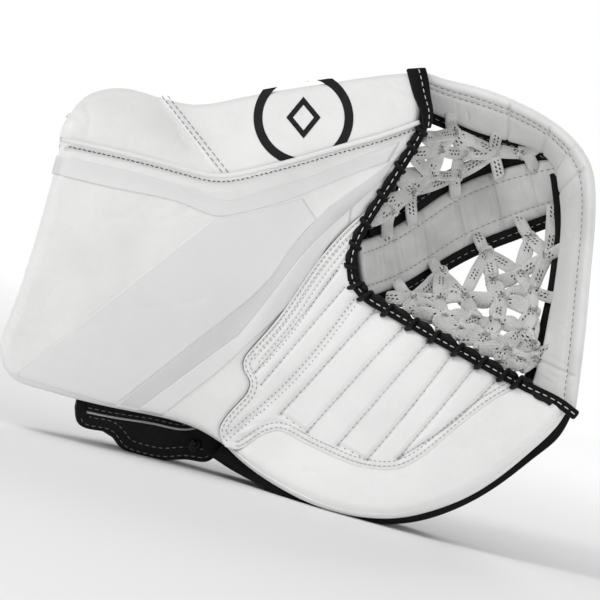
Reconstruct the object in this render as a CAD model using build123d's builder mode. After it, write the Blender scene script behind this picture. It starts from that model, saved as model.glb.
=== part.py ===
"""Goalie catch glove, standing on its lower edge with the pocket facing -Y. Millimetres.

The glove is drawn in its own face frame: X runs from the wrist to the T-web, Z runs up to the thumb,
and Y runs from the catching face to the back of the hand. `stand()` then leans and cants it on to the
floor, so that the finger rim and the wrist pad carry it.

The catching face is a shallow valley. Its depth depends only on the distance from the break line, the
crease that runs from the heel to the crotch of thumb and fingers, so every layer of the face is an
outline cut to a band of constant depth behind that valley.
"""

import os
from math import cos, radians, sin

from build123d import *

# ---- driving dimensions ----
HEEL = (-54.0, -104.0)  # X, Z of the break line's lower end
BREAK_ANGLE = 52.7  # from +X up to the break line
LEAN = 2.0  # how far the face tips back from upright
CANT = 15.0  # how far the cuff end sits below the T-web end
FLOOR_CUT = 1.8  # depth of the flats worn on the two lowest edges

SKIN = 3.0  # leather and its backing
GAP = 0.4  # between neighbouring layers
FOAM = 15.0
BOARD = 2.2  # moulded stiffener
HAND_SPACE = 30.0  # between the padded face and the back of the hand
BREAK_GAP = 3.0  # each side of the break line
BINDING = 8.0  # width of the black edge binding
LACE_WIDE, LACE_THICK = 7.0, 3.0
KNOT_WIDE, KNOT_DEEP = 9.5, 6.5
WEB_THICK = 6.0
FAR = 500.0

# Depth of the catching face against distance from the break line, fingers negative, thumb positive.
VALLEY = [
    (-205, 7), (-150, 11), (-110, 16), (-70, 25), (-35, 40), (0, 48),
    (30, 46), (60, 38), (100, 24), (140, 14), (180, 9), (270, 4),
]

# Outlines in X, Z.
SEAM = [(-170, 109), (-108, 97), (-54, 85), (0, 97), (58, 115), (84, 124)]
TOP_EDGE = [(-166, 121), (-157, 142), (-143, 153), (-126, 156), (-101, 149), (-72, 143), (-43, 148),
            (22, 160), (60, 166), (82, 168)]
THUMB_EDGE = [(86, 124), (68, 90), (53, 66), (42, 43), (37, 22)]
FINGER_EDGE = [(41, 13), (47, 4), (61, -6), (94, -25), (130, -45), (166, -63), (190, -76)]
CUFF_FOOT = [(-70, -101), (-122, -90), (-144, -80), (-187, -67)]
CUFF_CORNER = [(-203, -62), (-212, -50), (-209, -36)]
RIM_EDGE = [(190, -82), (166, -112), (130, -140), (94, -153), (72, -156), (36, -151), (0, -138),
            (-29, -119), (-50, -101)]
RIM_SEAM = [(160, -57), (144, -67), (122, -83), (103, -99), (84, -114), (71, -120), (55, -121),
            (39, -118), (19, -110), (0, -101), (-15, -94), (-32, -101), (-42, -112)]

# ---- the T-web: stations from one edge of each strip to the other, as X, Y, Z ----
TOP_BAR = [
    ((97, 72, 160), (98, 95, 139)),
    ((130, 62, 150), (124, 98, 129)),
    ((173, 50, 133), (158, 95, 119)),
    ((198, 41, 108), (180, 88, 104)),
]
SIDE_BAR = [
    ((201, 40, 103), (182, 88, 99)),
    ((209, 34, 84), (190, 84, 82)),
    ((210, 30, 62), (193, 80, 60)),
    ((209, 24, 25), (188, 74, 22)),
    ((203, 20, -30), (176, 62, -24)),
    ((199, 18, -70), (170, 46, -52)),
]
STEM = [
    ((57, 72, 47), (72, 80, 10)),
    ((85, 92, 65), (101, 100, 26)),
    ((112, 102, 81), (130, 108, 41)),
    ((145, 102, 96), (162, 102, 55)),
    ((176, 92, 99), (186, 90, 66)),
]
# Where the laces of each pocket are tied: (X, Y, Z), then the pairs of knots that a lace joins.
LOWER_KNOTS = [
    (66, 52, 1), (97, 36, -17), (130, 28, -34), (158, 26, -49),
    (80, 79, -4), (109, 94, 11), (141, 94, 26), (170, 84, 40),
    (176, 82, 33), (170, 74, 5), (161, 64, -20),
    (92, 72, -7), (118, 82, -1), (146, 82, 13), (122, 60, -18), (146, 60, -18),
]
LOWER_LACES = [
    (0, 11), (1, 11), (1, 14), (2, 14), (2, 15), (3, 15), (3, 10), (4, 11), (4, 12), (5, 12), (6, 13),
    (7, 13), (8, 13), (9, 13), (9, 15), (10, 15), (11, 14), (12, 14), (12, 13), (13, 15), (11, 12),
    (5, 13), (14, 15),
]
UPPER_KNOTS = [
    (88, 66, 106), (75, 62, 88), (62, 62, 70),
    (99, 92, 125), (126, 96, 115), (156, 92, 106),
    (70, 72, 66), (91, 84, 80), (118, 92, 95),
    (82, 74, 90), (106, 86, 104), (132, 92, 108),
]
UPPER_LACES = [
    (0, 9), (0, 10), (1, 9), (2, 9), (2, 6), (3, 10), (4, 10), (4, 11), (5, 11), (6, 9), (7, 9), (7, 10),
    (8, 10), (8, 11), (9, 10), (10, 11),
]

ALONG = Vector(cos(radians(BREAK_ANGLE)), 0, sin(radians(BREAK_ANGLE)))  # up the break line
ACROSS = Vector(-sin(radians(BREAK_ANGLE)), 0, cos(radians(BREAK_ANGLE)))  # towards the thumb
BREAK_POINT = Vector(HEEL[0], 0, HEEL[1])
face_plane = Plane.XZ
break_plane = Plane(origin=BREAK_POINT, x_dir=ACROSS, z_dir=ALONG * -1)


def spot(across, depth, along):
    """The point at that distance across and along the break line, and that depth."""
    return BREAK_POINT + ACROSS * across + ALONG * along + Vector(0, depth, 0)


def valley_depth(across):
    """Depth of the catching face, straight between the points of VALLEY."""
    for (a, depth_a), (b, depth_b) in zip(VALLEY, VALLEY[1:]):
        if a <= across <= b:
            return depth_a + (depth_b - depth_a) * (across - a) / (b - a)
    return VALLEY[0][1] if across < 0 else VALLEY[-1][1]


def band(front, back, low=BREAK_GAP, high=FAR):
    """The section of a layer between two depths behind the face, from low to high across the break."""
    with BuildSketch(break_plane) as section:
        with BuildLine():
            near = Spline(*[(across, depth + front) for across, depth in VALLEY])
            far = Spline(*[(across, depth + back) for across, depth in VALLEY])
            Line(near @ 0, far @ 0)
            Line(near @ 1, far @ 1)
        make_face()
        with Locations(((low + high) / 2, 0)):
            Rectangle(high - low, FAR, mode=Mode.INTERSECT)
    return section.sketch


def shrink(ring, inset):
    """A closed ring of points, given counter-clockwise, with every side moved inwards by `inset`."""
    moved = []
    for (x0, z0), (x1, z1), (x2, z2) in zip(ring[-1:] + ring[:-1], ring, ring[1:] + ring[:1]):
        before = Vector(z0 - z1, x1 - x0).normalized()
        after = Vector(z1 - z2, x2 - x1).normalized()
        corner = (before + after) * (inset / (1 + before.dot(after)))
        moved.append((x1 + corner.X, z1 + corner.Y))
    return moved


def outline(runs, inset=0.0):
    """A face from runs of points that follow one another counter-clockwise: (is it curved, points)."""
    ring = [point for _, points in runs for point in points[:-1]]
    moved = shrink(ring, inset)
    with BuildSketch(face_plane) as face:
        with BuildLine():
            start = 0
            for curved, points in runs:
                stop = start + len(points) - 1
                part = [moved[i % len(moved)] for i in range(start, stop + 1)]
                Spline(*part) if curved else Polyline(*part)
                start = stop
        make_face()
    return face.sketch


def plane_through(a, b, c):
    """The plane through three points: x from a to b, z towards the back of the hand."""
    x_dir = Vector(*b) - Vector(*a)
    z_dir = x_dir.cross(Vector(*c) - Vector(*a))
    return Plane(origin=a, x_dir=x_dir, z_dir=z_dir if z_dir.Y > 0 else z_dir * -1)


# The cuff and thumb's front, which runs past the break line; the layers are cut off short of it.
cuff_runs = [
    (False, [*CUFF_FOOT[::-1], (-48, -118), THUMB_EDGE[-1]]),
    (True, THUMB_EDGE[::-1]),
    (False, [THUMB_EDGE[0], *SEAM[-2::-1], CUFF_CORNER[-1]]),
    (True, [*CUFF_CORNER[::-1], CUFF_FOOT[-1]]),
]
# The finger side's front, from the pocket edge to the rim.
finger_runs = [
    (True, [*RIM_EDGE[::-1], FINGER_EDGE[-1]]),
    (True, FINGER_EDGE[::-1]),
    (False, [FINGER_EDGE[0], (-40, -80), RIM_EDGE[-1]]),
]
# The rim stops short of the pocket edge's binding.
rim_runs = [
    (True, RIM_EDGE[::-1]),
    (False, [RIM_EDGE[0], (180, -84), (150, -65), (100, -40), (-48, -90), RIM_EDGE[-1]]),
]
# The space for the fingers, inside the rim and open towards the pocket and the wrist.
cavity_runs = [
    (True, RIM_EDGE[::-1]),
    (False, [RIM_EDGE[0], (240, -82), (240, 90), (-90, 90), (-90, -101), RIM_EDGE[-1]]),
]
# Everything on the pocket side of the rim's seam.
palm_runs = [
    (True, RIM_SEAM[::-1]),
    (False, [RIM_SEAM[0], (240, -20), (240, 160), (-90, 160), (-90, -118), RIM_SEAM[-1]]),
]
# The side wall above the seam: the cuff's part on the left, the thumb's part on the right.
CUFF_SIDE_TOP, THUMB_SIDE_TOP = TOP_EDGE[:5], TOP_EDGE[4:]
cuff_side_runs = [
    (False, [*SEAM[:3], CUFF_SIDE_TOP[-1]]),
    (True, CUFF_SIDE_TOP[::-1]),
    (False, [CUFF_SIDE_TOP[0], SEAM[0]]),
]
thumb_side_runs = [
    (False, [*SEAM[2:], THUMB_SIDE_TOP[-1]]),
    (True, THUMB_SIDE_TOP[::-1]),
    (False, [THUMB_SIDE_TOP[0], SEAM[2]]),
]


def across_strip(near, far, ahead):
    """The plane of a strip's cross-section: x from one edge to the other, z along the strip."""
    width = Vector(*far) - Vector(*near)
    x_dir = width.normalized()
    z_dir = ahead - x_dir * ahead.dot(x_dir)
    return Plane(origin=Vector(*near) + width / 2, x_dir=x_dir, z_dir=z_dir.normalized()), width.length


def stations(rows):
    """The cross-section plane and width at each station of a strip."""
    middles = [(Vector(*near) + Vector(*far)) / 2 for near, far in rows]
    planes = []
    for i, (near, far) in enumerate(rows):
        ahead = middles[min(i + 1, len(rows) - 1)] - middles[max(i - 1, 0)]
        planes.append(across_strip(near, far, ahead))
    return planes


def edge_rows(rows, side, clear, width):
    """Stations of the binding beyond one edge of a strip."""
    found = []
    for near, far in rows:
        near, far = Vector(*near), Vector(*far)
        out = (near - far).normalized() if side == "near" else (far - near).normalized()
        edge = near if side == "near" else far
        found.append((tuple(edge + out * clear), tuple(edge + out * (clear + width))))
    return found


def edge_stations(points, depth, width):
    """Stations of the pocket edge's binding, which lies on the valley and faces the palm."""
    found = []
    for i, (x, z) in enumerate(points):
        (x0, z0), (x1, z1) = points[max(i - 1, 0)], points[min(i + 1, len(points) - 1)]
        side = Vector(z1 - z0, 0, x0 - x1).normalized() * (width / 2)
        middle = Vector(x, depth[i], z)
        found.append((tuple(middle - side), tuple(middle + side)))
    return found


# ======================= cuff and thumb =======================
CUFF_LAYERS = [
    ("cuff_face", 0, SKIN, BINDING / 2 + 3 * GAP),
    ("cuff_foam", SKIN + GAP, SKIN + GAP + FOAM, BINDING / 2 + 2),
    ("cuff_board", SKIN + FOAM + 2 * GAP, SKIN + FOAM + BOARD + 2 * GAP, BINDING),
    ("cuff_lining", SKIN + FOAM + BOARD + 3 * GAP, SKIN + FOAM + BOARD + 3 * GAP + 1.6, BINDING / 2 + 2),
]
BACK_OF_FACE = CUFF_LAYERS[-1][2]
pieces = []
for layer_name, front, back, inset in CUFF_LAYERS:
    with BuildPart() as layer:
        extrude(outline(cuff_runs, inset), amount=FAR, both=True)
        extrude(band(front, back), amount=FAR, both=True, mode=Mode.INTERSECT)
    layer.part.label = layer_name
    pieces.append(layer.part)

# The side wall slopes back from the seam to the top edge.
cuff_side_plane = plane_through((-170, 7, 109), (-54, 20, 85), (-101, 55, 149))
thumb_side_plane = plane_through((-54, 20, 85), (84, 46, 124), (-101, 55, 149))
SIDE_WALLS = [("cuff_side", cuff_side_plane, cuff_side_runs), ("thumb_side", thumb_side_plane, thumb_side_runs)]
for wall_name, wall_plane, runs in SIDE_WALLS:
    for suffix, front, back in (("panel", 0, SKIN), ("foam", SKIN + GAP, SKIN + GAP + FOAM)):
        with BuildPart() as wall:
            extrude(outline(runs, GAP), amount=FAR, both=True)
            with BuildSketch(wall_plane.offset(front)):
                Rectangle(2 * FAR, 2 * FAR)
            extrude(amount=back - front, mode=Mode.INTERSECT)
        wall.part.label = f"{wall_name}_{suffix}"
        pieces.append(wall.part)

# Piping along the seam, on the cuff's side of it.
WELT = 4.0
with BuildPart() as seam_welt:
    with BuildSketch(face_plane):
        with BuildLine() as seam_line:
            FilletPolyline(*[(x, z - WELT) for x, z in SEAM[:5]], radius=12)
        trace(seam_line.line, line_width=WELT)
    extrude(amount=FAR, both=True)
    extrude(band(-4, -GAP), amount=FAR, both=True, mode=Mode.INTERSECT)
seam_welt.part.label = "seam_welt"
pieces.append(seam_welt.part)

# Round badge printed on the thumb's side.
BADGE_AT = (4, 130)
BADGE_R = 33.0
with BuildPart() as side_badge:
    with BuildSketch(face_plane):
        with Locations(BADGE_AT):
            Circle(BADGE_R)
            Circle(BADGE_R - 6, mode=Mode.SUBTRACT)
        add(outline(thumb_side_runs, 2), mode=Mode.INTERSECT)
    extrude(amount=FAR, both=True)
    with BuildSketch(thumb_side_plane.offset(-GAP - 0.8)):
        Rectangle(2 * FAR, 2 * FAR)
    extrude(amount=0.8, mode=Mode.INTERSECT)
side_badge.part.label = "side_badge"
pieces.append(side_badge.part)

# ======================= finger side =======================
FINGER_LAYERS = [
    ("palm_face", 0, SKIN),
    ("palm_foam", SKIN + GAP, SKIN + GAP + FOAM),
    ("palm_board", SKIN + FOAM + 2 * GAP, SKIN + FOAM + BOARD + 2 * GAP),
]
for layer_name, front, back in FINGER_LAYERS:
    with BuildPart() as layer:
        extrude(outline(finger_runs, BINDING / 2 + GAP), amount=FAR, both=True)
        extrude(outline(palm_runs, GAP), amount=FAR, both=True, mode=Mode.INTERSECT)
        extrude(band(front, back, -FAR, -BREAK_GAP), amount=FAR, both=True, mode=Mode.INTERSECT)
    layer.part.label = layer_name
    pieces.append(layer.part)

RIM_PROUD = 5.0
with BuildPart() as rim_pad:
    extrude(outline(rim_runs), amount=FAR, both=True)
    extrude(outline(palm_runs), amount=FAR, both=True, mode=Mode.SUBTRACT)
    extrude(band(-RIM_PROUD, SKIN + FOAM + BOARD, -FAR, -4 * BREAK_GAP), amount=FAR, both=True,
            mode=Mode.INTERSECT)
rim_pad.part.label = "rim_pad"
pieces.append(rim_pad.part)

# The back of the fingers: a padded shell, and the wall that joins it to the rim.
FINGER_BACK_AT = BACK_OF_FACE + HAND_SPACE
FINGER_BACK_THICK = 9.0
BACK_PROUD = 4.0
with BuildPart() as finger_back:
    extrude(outline(finger_runs, -BACK_PROUD), amount=FAR, both=True)
    extrude(band(FINGER_BACK_AT, FINGER_BACK_AT + FINGER_BACK_THICK, -FAR, -BREAK_GAP), amount=FAR,
            both=True, mode=Mode.INTERSECT)
finger_back.part.label = "finger_back"
pieces.append(finger_back.part)

with BuildPart() as finger_gusset:
    extrude(outline(finger_runs, -BACK_PROUD), amount=FAR, both=True)
    extrude(outline(cavity_runs, BACK_PROUD / 2), amount=FAR, both=True, mode=Mode.SUBTRACT)
    extrude(band(SKIN + FOAM + BOARD + 3 * GAP, FINGER_BACK_AT - GAP, -FAR, -BREAK_GAP), amount=FAR,
            both=True, mode=Mode.INTERSECT)
finger_gusset.part.label = "finger_gusset"
pieces.append(finger_gusset.part)

# Four short finger stalls, side by side, at the mouth of the space between the palm and the finger back.
STALL_ALONG = [52, 78, 104, 130]
STALL_LONG = [32, 36, 38, 34]
STALL_WIDE, STALL_DEEP, STALL_WALL = 24.0, 21.0, 1.6
STALL_MOUTH = -34.0
STALL_SLOPE = (valley_depth(-120) - valley_depth(-40)) / 80
with BuildPart() as finger_stalls:
    for along, long in zip(STALL_ALONG, STALL_LONG):
        ahead = (ACROSS * -1 + Vector(0, STALL_SLOPE, 0)).normalized()
        mouth = spot(STALL_MOUTH, valley_depth(STALL_MOUTH) + BACK_OF_FACE + HAND_SPACE / 2 - 2, along)
        with BuildSketch(Plane(origin=mouth, x_dir=ALONG, z_dir=ahead)):
            RectangleRounded(STALL_WIDE, STALL_DEEP, 8)
        extrude(amount=long)
        with BuildSketch(Plane(origin=mouth, x_dir=ALONG, z_dir=ahead)):
            RectangleRounded(STALL_WIDE - 2 * STALL_WALL, STALL_DEEP - 2 * STALL_WALL, 8 - STALL_WALL)
        extrude(amount=long - STALL_WALL, mode=Mode.SUBTRACT)
finger_stalls.part.label = "finger_stalls"
pieces.append(finger_stalls.part)

# ======================= inside the thumb =======================
THUMB_STALL_LONG = 96.0
thumb_stall_plane = Plane(
    origin=spot(46, valley_depth(46) + BACK_OF_FACE + HAND_SPACE / 2, 92),
    x_dir=ACROSS * 30 + Vector(0, valley_depth(61) - valley_depth(31), 0),
    z_dir=ALONG,
)
with BuildPart() as thumb_stall:
    with BuildSketch(thumb_stall_plane):
        RectangleRounded(30, 24, 10)
    extrude(amount=THUMB_STALL_LONG)
    with BuildSketch(thumb_stall_plane):
        RectangleRounded(30 - 2 * STALL_WALL, 24 - 2 * STALL_WALL, 10 - STALL_WALL)
    extrude(amount=THUMB_STALL_LONG - STALL_WALL, mode=Mode.SUBTRACT)
thumb_stall.part.label = "thumb_stall"
pieces.append(thumb_stall.part)

# ======================= back of the hand and wrist =======================
HAND_BACK_AT = FINGER_BACK_AT
HAND_BACK_THICK = 12.0
HAND_BACK = [(-163, -70), (-158, -84), (-146, -94), (-130, -104), (-112, -111), (-94, -113), (-76, -112),
             (-62, -113), (-48, -110)]
with BuildPart() as hand_back_pad:
    with BuildSketch(face_plane):
        with BuildLine():
            lobe = Spline(*HAND_BACK)
            Polyline(lobe @ 1, (60, 40), (84, 118), (40, 124), (-60, 70), (-135, 30), lobe @ 0)
        make_face()
    extrude(amount=FAR, both=True)
    extrude(band(HAND_BACK_AT, HAND_BACK_AT + HAND_BACK_THICK), amount=FAR, both=True,
            mode=Mode.INTERSECT)
hand_back_pad.part.label = "hand_back_pad"
pieces.append(hand_back_pad.part)

# The wrist's inner pad lies against the cuff's lining and shows under the cuff's foot.
WRIST_PAD = [(-162, -80), (-160, -90), (-149, -95), (-138, -98), (-131, -107), (-117, -114), (-98, -118),
             (-81, -117), (-68, -119), (-60, -112)]
FLAP_THICK = 2.5
WRIST_PAD_AT = BACK_OF_FACE + FLAP_THICK + 2 * GAP
WRIST_PAD_THICK = 8.0
with BuildPart() as wrist_pad:
    with BuildSketch(face_plane):
        with BuildLine():
            lobe = Spline(*WRIST_PAD)
            Polyline(lobe @ 1, (-45, -60), (-62, -8), (-110, 5), (-148, -20), lobe @ 0)
        make_face()
    extrude(amount=FAR, both=True)
    extrude(band(WRIST_PAD_AT, WRIST_PAD_AT + WRIST_PAD_THICK), amount=FAR, both=True,
            mode=Mode.INTERSECT)
wrist_pad.part.label = "wrist_pad"
pieces.append(wrist_pad.part)

# A thin flap with a piped edge hangs between the lining and the wrist pad.
WRIST_FLAP = [(-154, -80), (-116, -87.5), (-80, -94), (-73, -88), (-66, -40), (-100, -30), (-150, -50)]
with BuildPart() as wrist_flap:
    with BuildSketch(face_plane):
        with BuildLine():
            Polyline(*WRIST_FLAP, close=True)
        make_face()
    extrude(amount=FAR, both=True)
    extrude(band(BACK_OF_FACE + GAP, BACK_OF_FACE + GAP + FLAP_THICK), amount=FAR, both=True,
            mode=Mode.INTERSECT)
wrist_flap.part.label = "wrist_flap"
pieces.append(wrist_flap.part)

# The knotted end of the lace that ties the wrist pad to the flap.
KNOT_AT, KNOT_R = (-78, -107), 5.0
with BuildPart() as wrist_knot:
    with BuildSketch(face_plane):
        with Locations(KNOT_AT):
            Circle(KNOT_R)
    extrude(amount=FAR, both=True)
    extrude(band(WRIST_PAD_AT - 9, WRIST_PAD_AT - GAP), amount=FAR, both=True, mode=Mode.INTERSECT)
wrist_knot.part.label = "wrist_knot"
pieces.append(wrist_knot.part)

# Side wall that joins the cuff's lining to the hand back along the thumb's back.
with BuildPart() as hand_gusset:
    with BuildSketch(face_plane):
        with BuildLine() as gusset_line:
            Polyline((-60, 56), (40, 108), (72, 102))
        trace(gusset_line.line, line_width=5)
    extrude(amount=FAR, both=True)
    extrude(band(BACK_OF_FACE + GAP, HAND_BACK_AT - GAP), amount=FAR, both=True, mode=Mode.INTERSECT)
hand_gusset.part.label = "hand_gusset"
pieces.append(hand_gusset.part)

# Two hook-and-loop straps lie across the hand back, each sewn down at its lower end.
STRAP_THICK = 2.6
STRAP_AT = HAND_BACK_AT + HAND_BACK_THICK + GAP
STRAPS = [("wrist_strap", 66.0, 104.0, -26.0, 84.0), ("hand_strap", 18.0, 48.0, 6.0, 112.0)]
SEWN_END = 20.0  # length of strap sewn flat to the pad
for strap_name, low, high, start, end in STRAPS:
    for suffix, bottom, top in (("anchor", start, start + SEWN_END), ("", start + SEWN_END + 1.5, end)):
        with BuildPart() as strap:
            extrude(band(STRAP_AT, STRAP_AT + STRAP_THICK, low, high), amount=FAR, both=True)
            with BuildSketch(Plane(origin=spot(0, 0, bottom), x_dir=ACROSS, z_dir=ALONG)):
                Rectangle(2 * FAR, 2 * FAR)
            extrude(amount=top - bottom, mode=Mode.INTERSECT)
        strap.part.label = f"{strap_name}_{suffix}".rstrip("_")
        pieces.append(strap.part)

# ======================= pocket edge bindings =======================
THUMB_BINDING = [(90, 152), (90, 124), (70, 90), (54, 65), (43, 43), (39, 24)]
THUMB_BINDING_DEPTH = [64, 42, 44, 46, 48, 49]
FINGER_BINDING_DEPTH = [48, 46, 40, 24, 15, 12, 10]
BINDINGS = [
    ("thumb_binding", THUMB_BINDING, THUMB_BINDING_DEPTH),
    ("finger_binding", FINGER_EDGE, FINGER_BINDING_DEPTH),
]
for binding_name, points, depth in BINDINGS:
    with BuildPart() as binding:
        for section, width in stations(edge_stations(points, depth, BINDING)):
            with BuildSketch(section):
                Rectangle(width, WEB_THICK)
        loft(ruled=True)
    binding.part.label = binding_name
    pieces.append(binding.part)

# Black whip laces: a row of short turns along each binding.
WHIP_LONG, WHIP_R = 12.0, 2.4
WHIPS = [("thumb_whip_lace", THUMB_BINDING[1:], THUMB_BINDING_DEPTH[1:]),
         ("finger_whip_lace", FINGER_EDGE, FINGER_BINDING_DEPTH)]
for whip_name, points, depth in WHIPS:
    with BuildPart() as whip:
        for (x0, z0), (x1, z1), d0, d1 in zip(points, points[1:], depth, depth[1:]):
            run = Vector(x1 - x0, d1 - d0, z1 - z0)
            side = Vector(z1 - z0, 0, x0 - x1).normalized()
            middle = Vector((x0 + x1) / 2, (d0 + d1) / 2 - WEB_THICK / 2 - WHIP_R - 3 * GAP, (z0 + z1) / 2)
            if run.length < WHIP_LONG:
                continue
            with BuildSketch(Plane(origin=middle - side * (WHIP_LONG / 2), z_dir=side)):
                Circle(WHIP_R)
            extrude(amount=WHIP_LONG)
    whip.part.label = whip_name
    pieces.append(whip.part)

# ======================= T-web =======================
STRIPS = [
    ("t_top_bar", TOP_BAR, WEB_THICK),
    ("t_side_bar", SIDE_BAR, WEB_THICK),
    ("t_stem", STEM, WEB_THICK),
    ("t_top_binding", edge_rows(TOP_BAR, "far", 2 * GAP, BINDING), WEB_THICK - 2),
    ("t_side_binding", edge_rows(SIDE_BAR[1:], "far", 2 * GAP, BINDING), WEB_THICK - 2),
    ("stem_upper_binding", edge_rows(STEM[:-1], "near", 2 * GAP, BINDING), WEB_THICK - 2),
    ("stem_lower_binding", edge_rows(STEM[:-1], "far", 2 * GAP, BINDING), WEB_THICK - 2),
]
for strip_name, rows, thick in STRIPS:
    with BuildPart() as strip:
        for section, width in stations(rows):
            with BuildSketch(section):
                Rectangle(width, thick)
        loft(ruled=True)
    strip.part.label = strip_name
    pieces.append(strip.part)

for web_name, knots, laces in (
    ("lower_pocket_lace", LOWER_KNOTS, LOWER_LACES),
    ("upper_pocket_lace", UPPER_KNOTS, UPPER_LACES),
):
    with BuildPart() as web:
        for a, b in laces:
            run = Vector(*knots[b]) - Vector(*knots[a])
            across = Vector(run.Z, 0, -run.X).normalized()
            with BuildSketch(Plane(origin=knots[a], x_dir=across, z_dir=run.normalized())):
                Rectangle(LACE_WIDE, LACE_THICK)
            extrude(amount=run.length)
        for knot in knots:
            with Locations(knot):
                Box(KNOT_WIDE, KNOT_DEEP, KNOT_WIDE)
    web.part.label = web_name
    pieces.append(web.part)

# ======================= on to the floor =======================
upright = Rot(-LEAN, 0, 0) * Rot(0, -CANT, 0)
standing = [upright * piece for piece in pieces]
boxes = [piece.bounding_box() for piece in standing]
lows = [min(tuple(box.min)[i] for box in boxes) for i in range(3)]
highs = [max(tuple(box.max)[i] for box in boxes) for i in range(3)]
shift = Pos(-(lows[0] + highs[0]) / 2, -(lows[1] + highs[1]) / 2, -lows[2] - FLOOR_CUT)
os.makedirs("parts", exist_ok=True)
for piece, placed in zip(pieces, standing):
    final = shift * placed
    print(f"{piece.label:20s} {final.bounding_box().min.Z:7.1f} {len(final.solids())}", flush=True)
    if final.bounding_box().min.Z < 0:
        final = split(final, bisect_by=Plane.XY, keep=Keep.TOP)
    final.label = piece.label
    export_step(final, f"parts/{piece.label}.step")
frame = shift * upright
for name, point in (("heel", spot(0, 46, 0)), ("wrist", spot(85, 0, 0)), ("zero", (0, 0, 0))):
    print(name, (frame * Pos(*point)).position)
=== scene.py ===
"""Looks for the goalie catch glove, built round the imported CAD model.

Shapes are drawn in the glove's own face frame, in millimetres: X from the wrist to the T-web, Y from the
catching face to the back of the hand, Z up to the thumb. `world()` stands them where the CAD model stands.
"""

import math
import random

import bmesh
import bpy
import numpy as np
from mathutils import Matrix, Vector
from mathutils.bvhtree import BVHTree

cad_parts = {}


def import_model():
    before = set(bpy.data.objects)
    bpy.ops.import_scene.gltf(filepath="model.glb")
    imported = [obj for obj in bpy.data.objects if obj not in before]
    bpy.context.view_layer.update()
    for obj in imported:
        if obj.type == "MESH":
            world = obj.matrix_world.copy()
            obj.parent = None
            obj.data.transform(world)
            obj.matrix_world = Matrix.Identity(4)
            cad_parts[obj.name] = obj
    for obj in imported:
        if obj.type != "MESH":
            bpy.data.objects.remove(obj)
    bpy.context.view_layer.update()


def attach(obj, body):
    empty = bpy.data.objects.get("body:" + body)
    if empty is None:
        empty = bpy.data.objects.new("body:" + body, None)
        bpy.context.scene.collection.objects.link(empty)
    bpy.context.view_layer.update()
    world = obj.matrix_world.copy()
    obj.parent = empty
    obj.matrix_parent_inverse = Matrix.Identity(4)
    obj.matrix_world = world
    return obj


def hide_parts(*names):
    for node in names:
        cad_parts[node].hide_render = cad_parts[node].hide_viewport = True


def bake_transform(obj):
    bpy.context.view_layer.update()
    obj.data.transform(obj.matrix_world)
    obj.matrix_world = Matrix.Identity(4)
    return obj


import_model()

# ---------------------------------------------------------------- the face frame
LEAN, CANT = math.radians(2.0), math.radians(15.0)
SHIFT = np.array([-10.1052, -58.7752, 141.490])
cc, sc, cl, sl = math.cos(CANT), math.sin(CANT), math.cos(LEAN), math.sin(LEAN)
FACE = np.array([[cc, 0, -sc], [sc * sl, cl, cc * sl], [sc * cl, -sl, cc * cl]])
TO_BACK, TO_VIEWER = (0, 1, 0), (0, -1, 0)


def world(points):
    return (np.asarray(points, float) @ FACE.T + SHIFT) / 1000


def unit(v):
    v = np.asarray(v, float)
    return v / np.maximum(np.linalg.norm(v, axis=-1, keepdims=True), 1e-9)


def cubic(knots, values):
    """A natural cubic spline through the knots, as a function."""
    x, y = np.asarray(knots, float), np.asarray(values, float)
    n, h = len(x), np.diff(x)
    system, right = np.eye(n), np.zeros_like(y)
    for i in range(1, n - 1):
        system[i, i - 1:i + 2] = h[i - 1], 2 * (h[i - 1] + h[i]), h[i]
        right[i] = 6 * ((y[i + 1] - y[i]) / h[i] - (y[i] - y[i - 1]) / h[i - 1])
    bend = np.linalg.solve(system, right)

    def at(t):
        t = np.clip(np.asarray(t, float), x[0], x[-1])
        k = np.clip(np.searchsorted(x, t) - 1, 0, n - 2)
        a, b, step = (x[k + 1] - t) / h[k], (t - x[k]) / h[k], h[k]
        if y.ndim > 1:
            a, b, step = a[..., None], b[..., None], step[..., None]
        return a * y[k] + b * y[k + 1] + ((a**3 - a) * bend[k] + (b**3 - b) * bend[k + 1]) * step**2 / 6

    return at


def travel(points):
    """How far along a line each of its points is."""
    return np.r_[0, np.cumsum(np.linalg.norm(np.diff(points, axis=0), axis=1))]


def length(points):
    return float(np.linalg.norm(np.diff(points, axis=0), axis=1).sum())


def points_at(points, distances):
    run = travel(points)
    return np.stack([np.interp(distances, run, points[:, i]) for i in range(points.shape[1])], 1)


def resample(points, ts):
    """Points at these shares of a line's length, or a number of evenly spaced ones."""
    points = np.asarray(points, float)
    if isinstance(ts, int):
        ts = np.linspace(0, 1, ts)
    return points_at(points, ts * travel(points)[-1])


def smooth(points, n=160):
    """n evenly spaced points on a smooth curve through these."""
    points = np.asarray(points, float)
    run = travel(points)
    return resample(cubic(run, points)(np.linspace(0, run[-1], 600)), n)


VALLEY = cubic(
    [-205, -150, -110, -70, -35, 0, 30, 60, 100, 140, 180, 270],
    [7, 11, 16, 25, 40, 48, 46, 38, 24, 14, 9, 4],
)
BREAK = math.radians(52.7)
HEEL = np.array([-54.0, -104.0])
ALONG = np.array([math.cos(BREAK), math.sin(BREAK)])
OUT = np.array([math.sin(BREAK), -math.cos(BREAK)])


def lay(points_xz, depth=0.0):
    """Points in X, Z laid on the catching face, or this far behind it."""
    x, z = points_xz[..., 0], points_xz[..., 1]
    return np.stack([x, VALLEY(-OUT[0] * (x - HEEL[0]) - OUT[1] * (z - HEEL[1])) + depth, z], -1)


def on_face(line, lift=0.0):
    """A line in X, Z laid on the catching face, lifted towards the viewer."""
    return lay(np.asarray(line, float), -lift)


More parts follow.
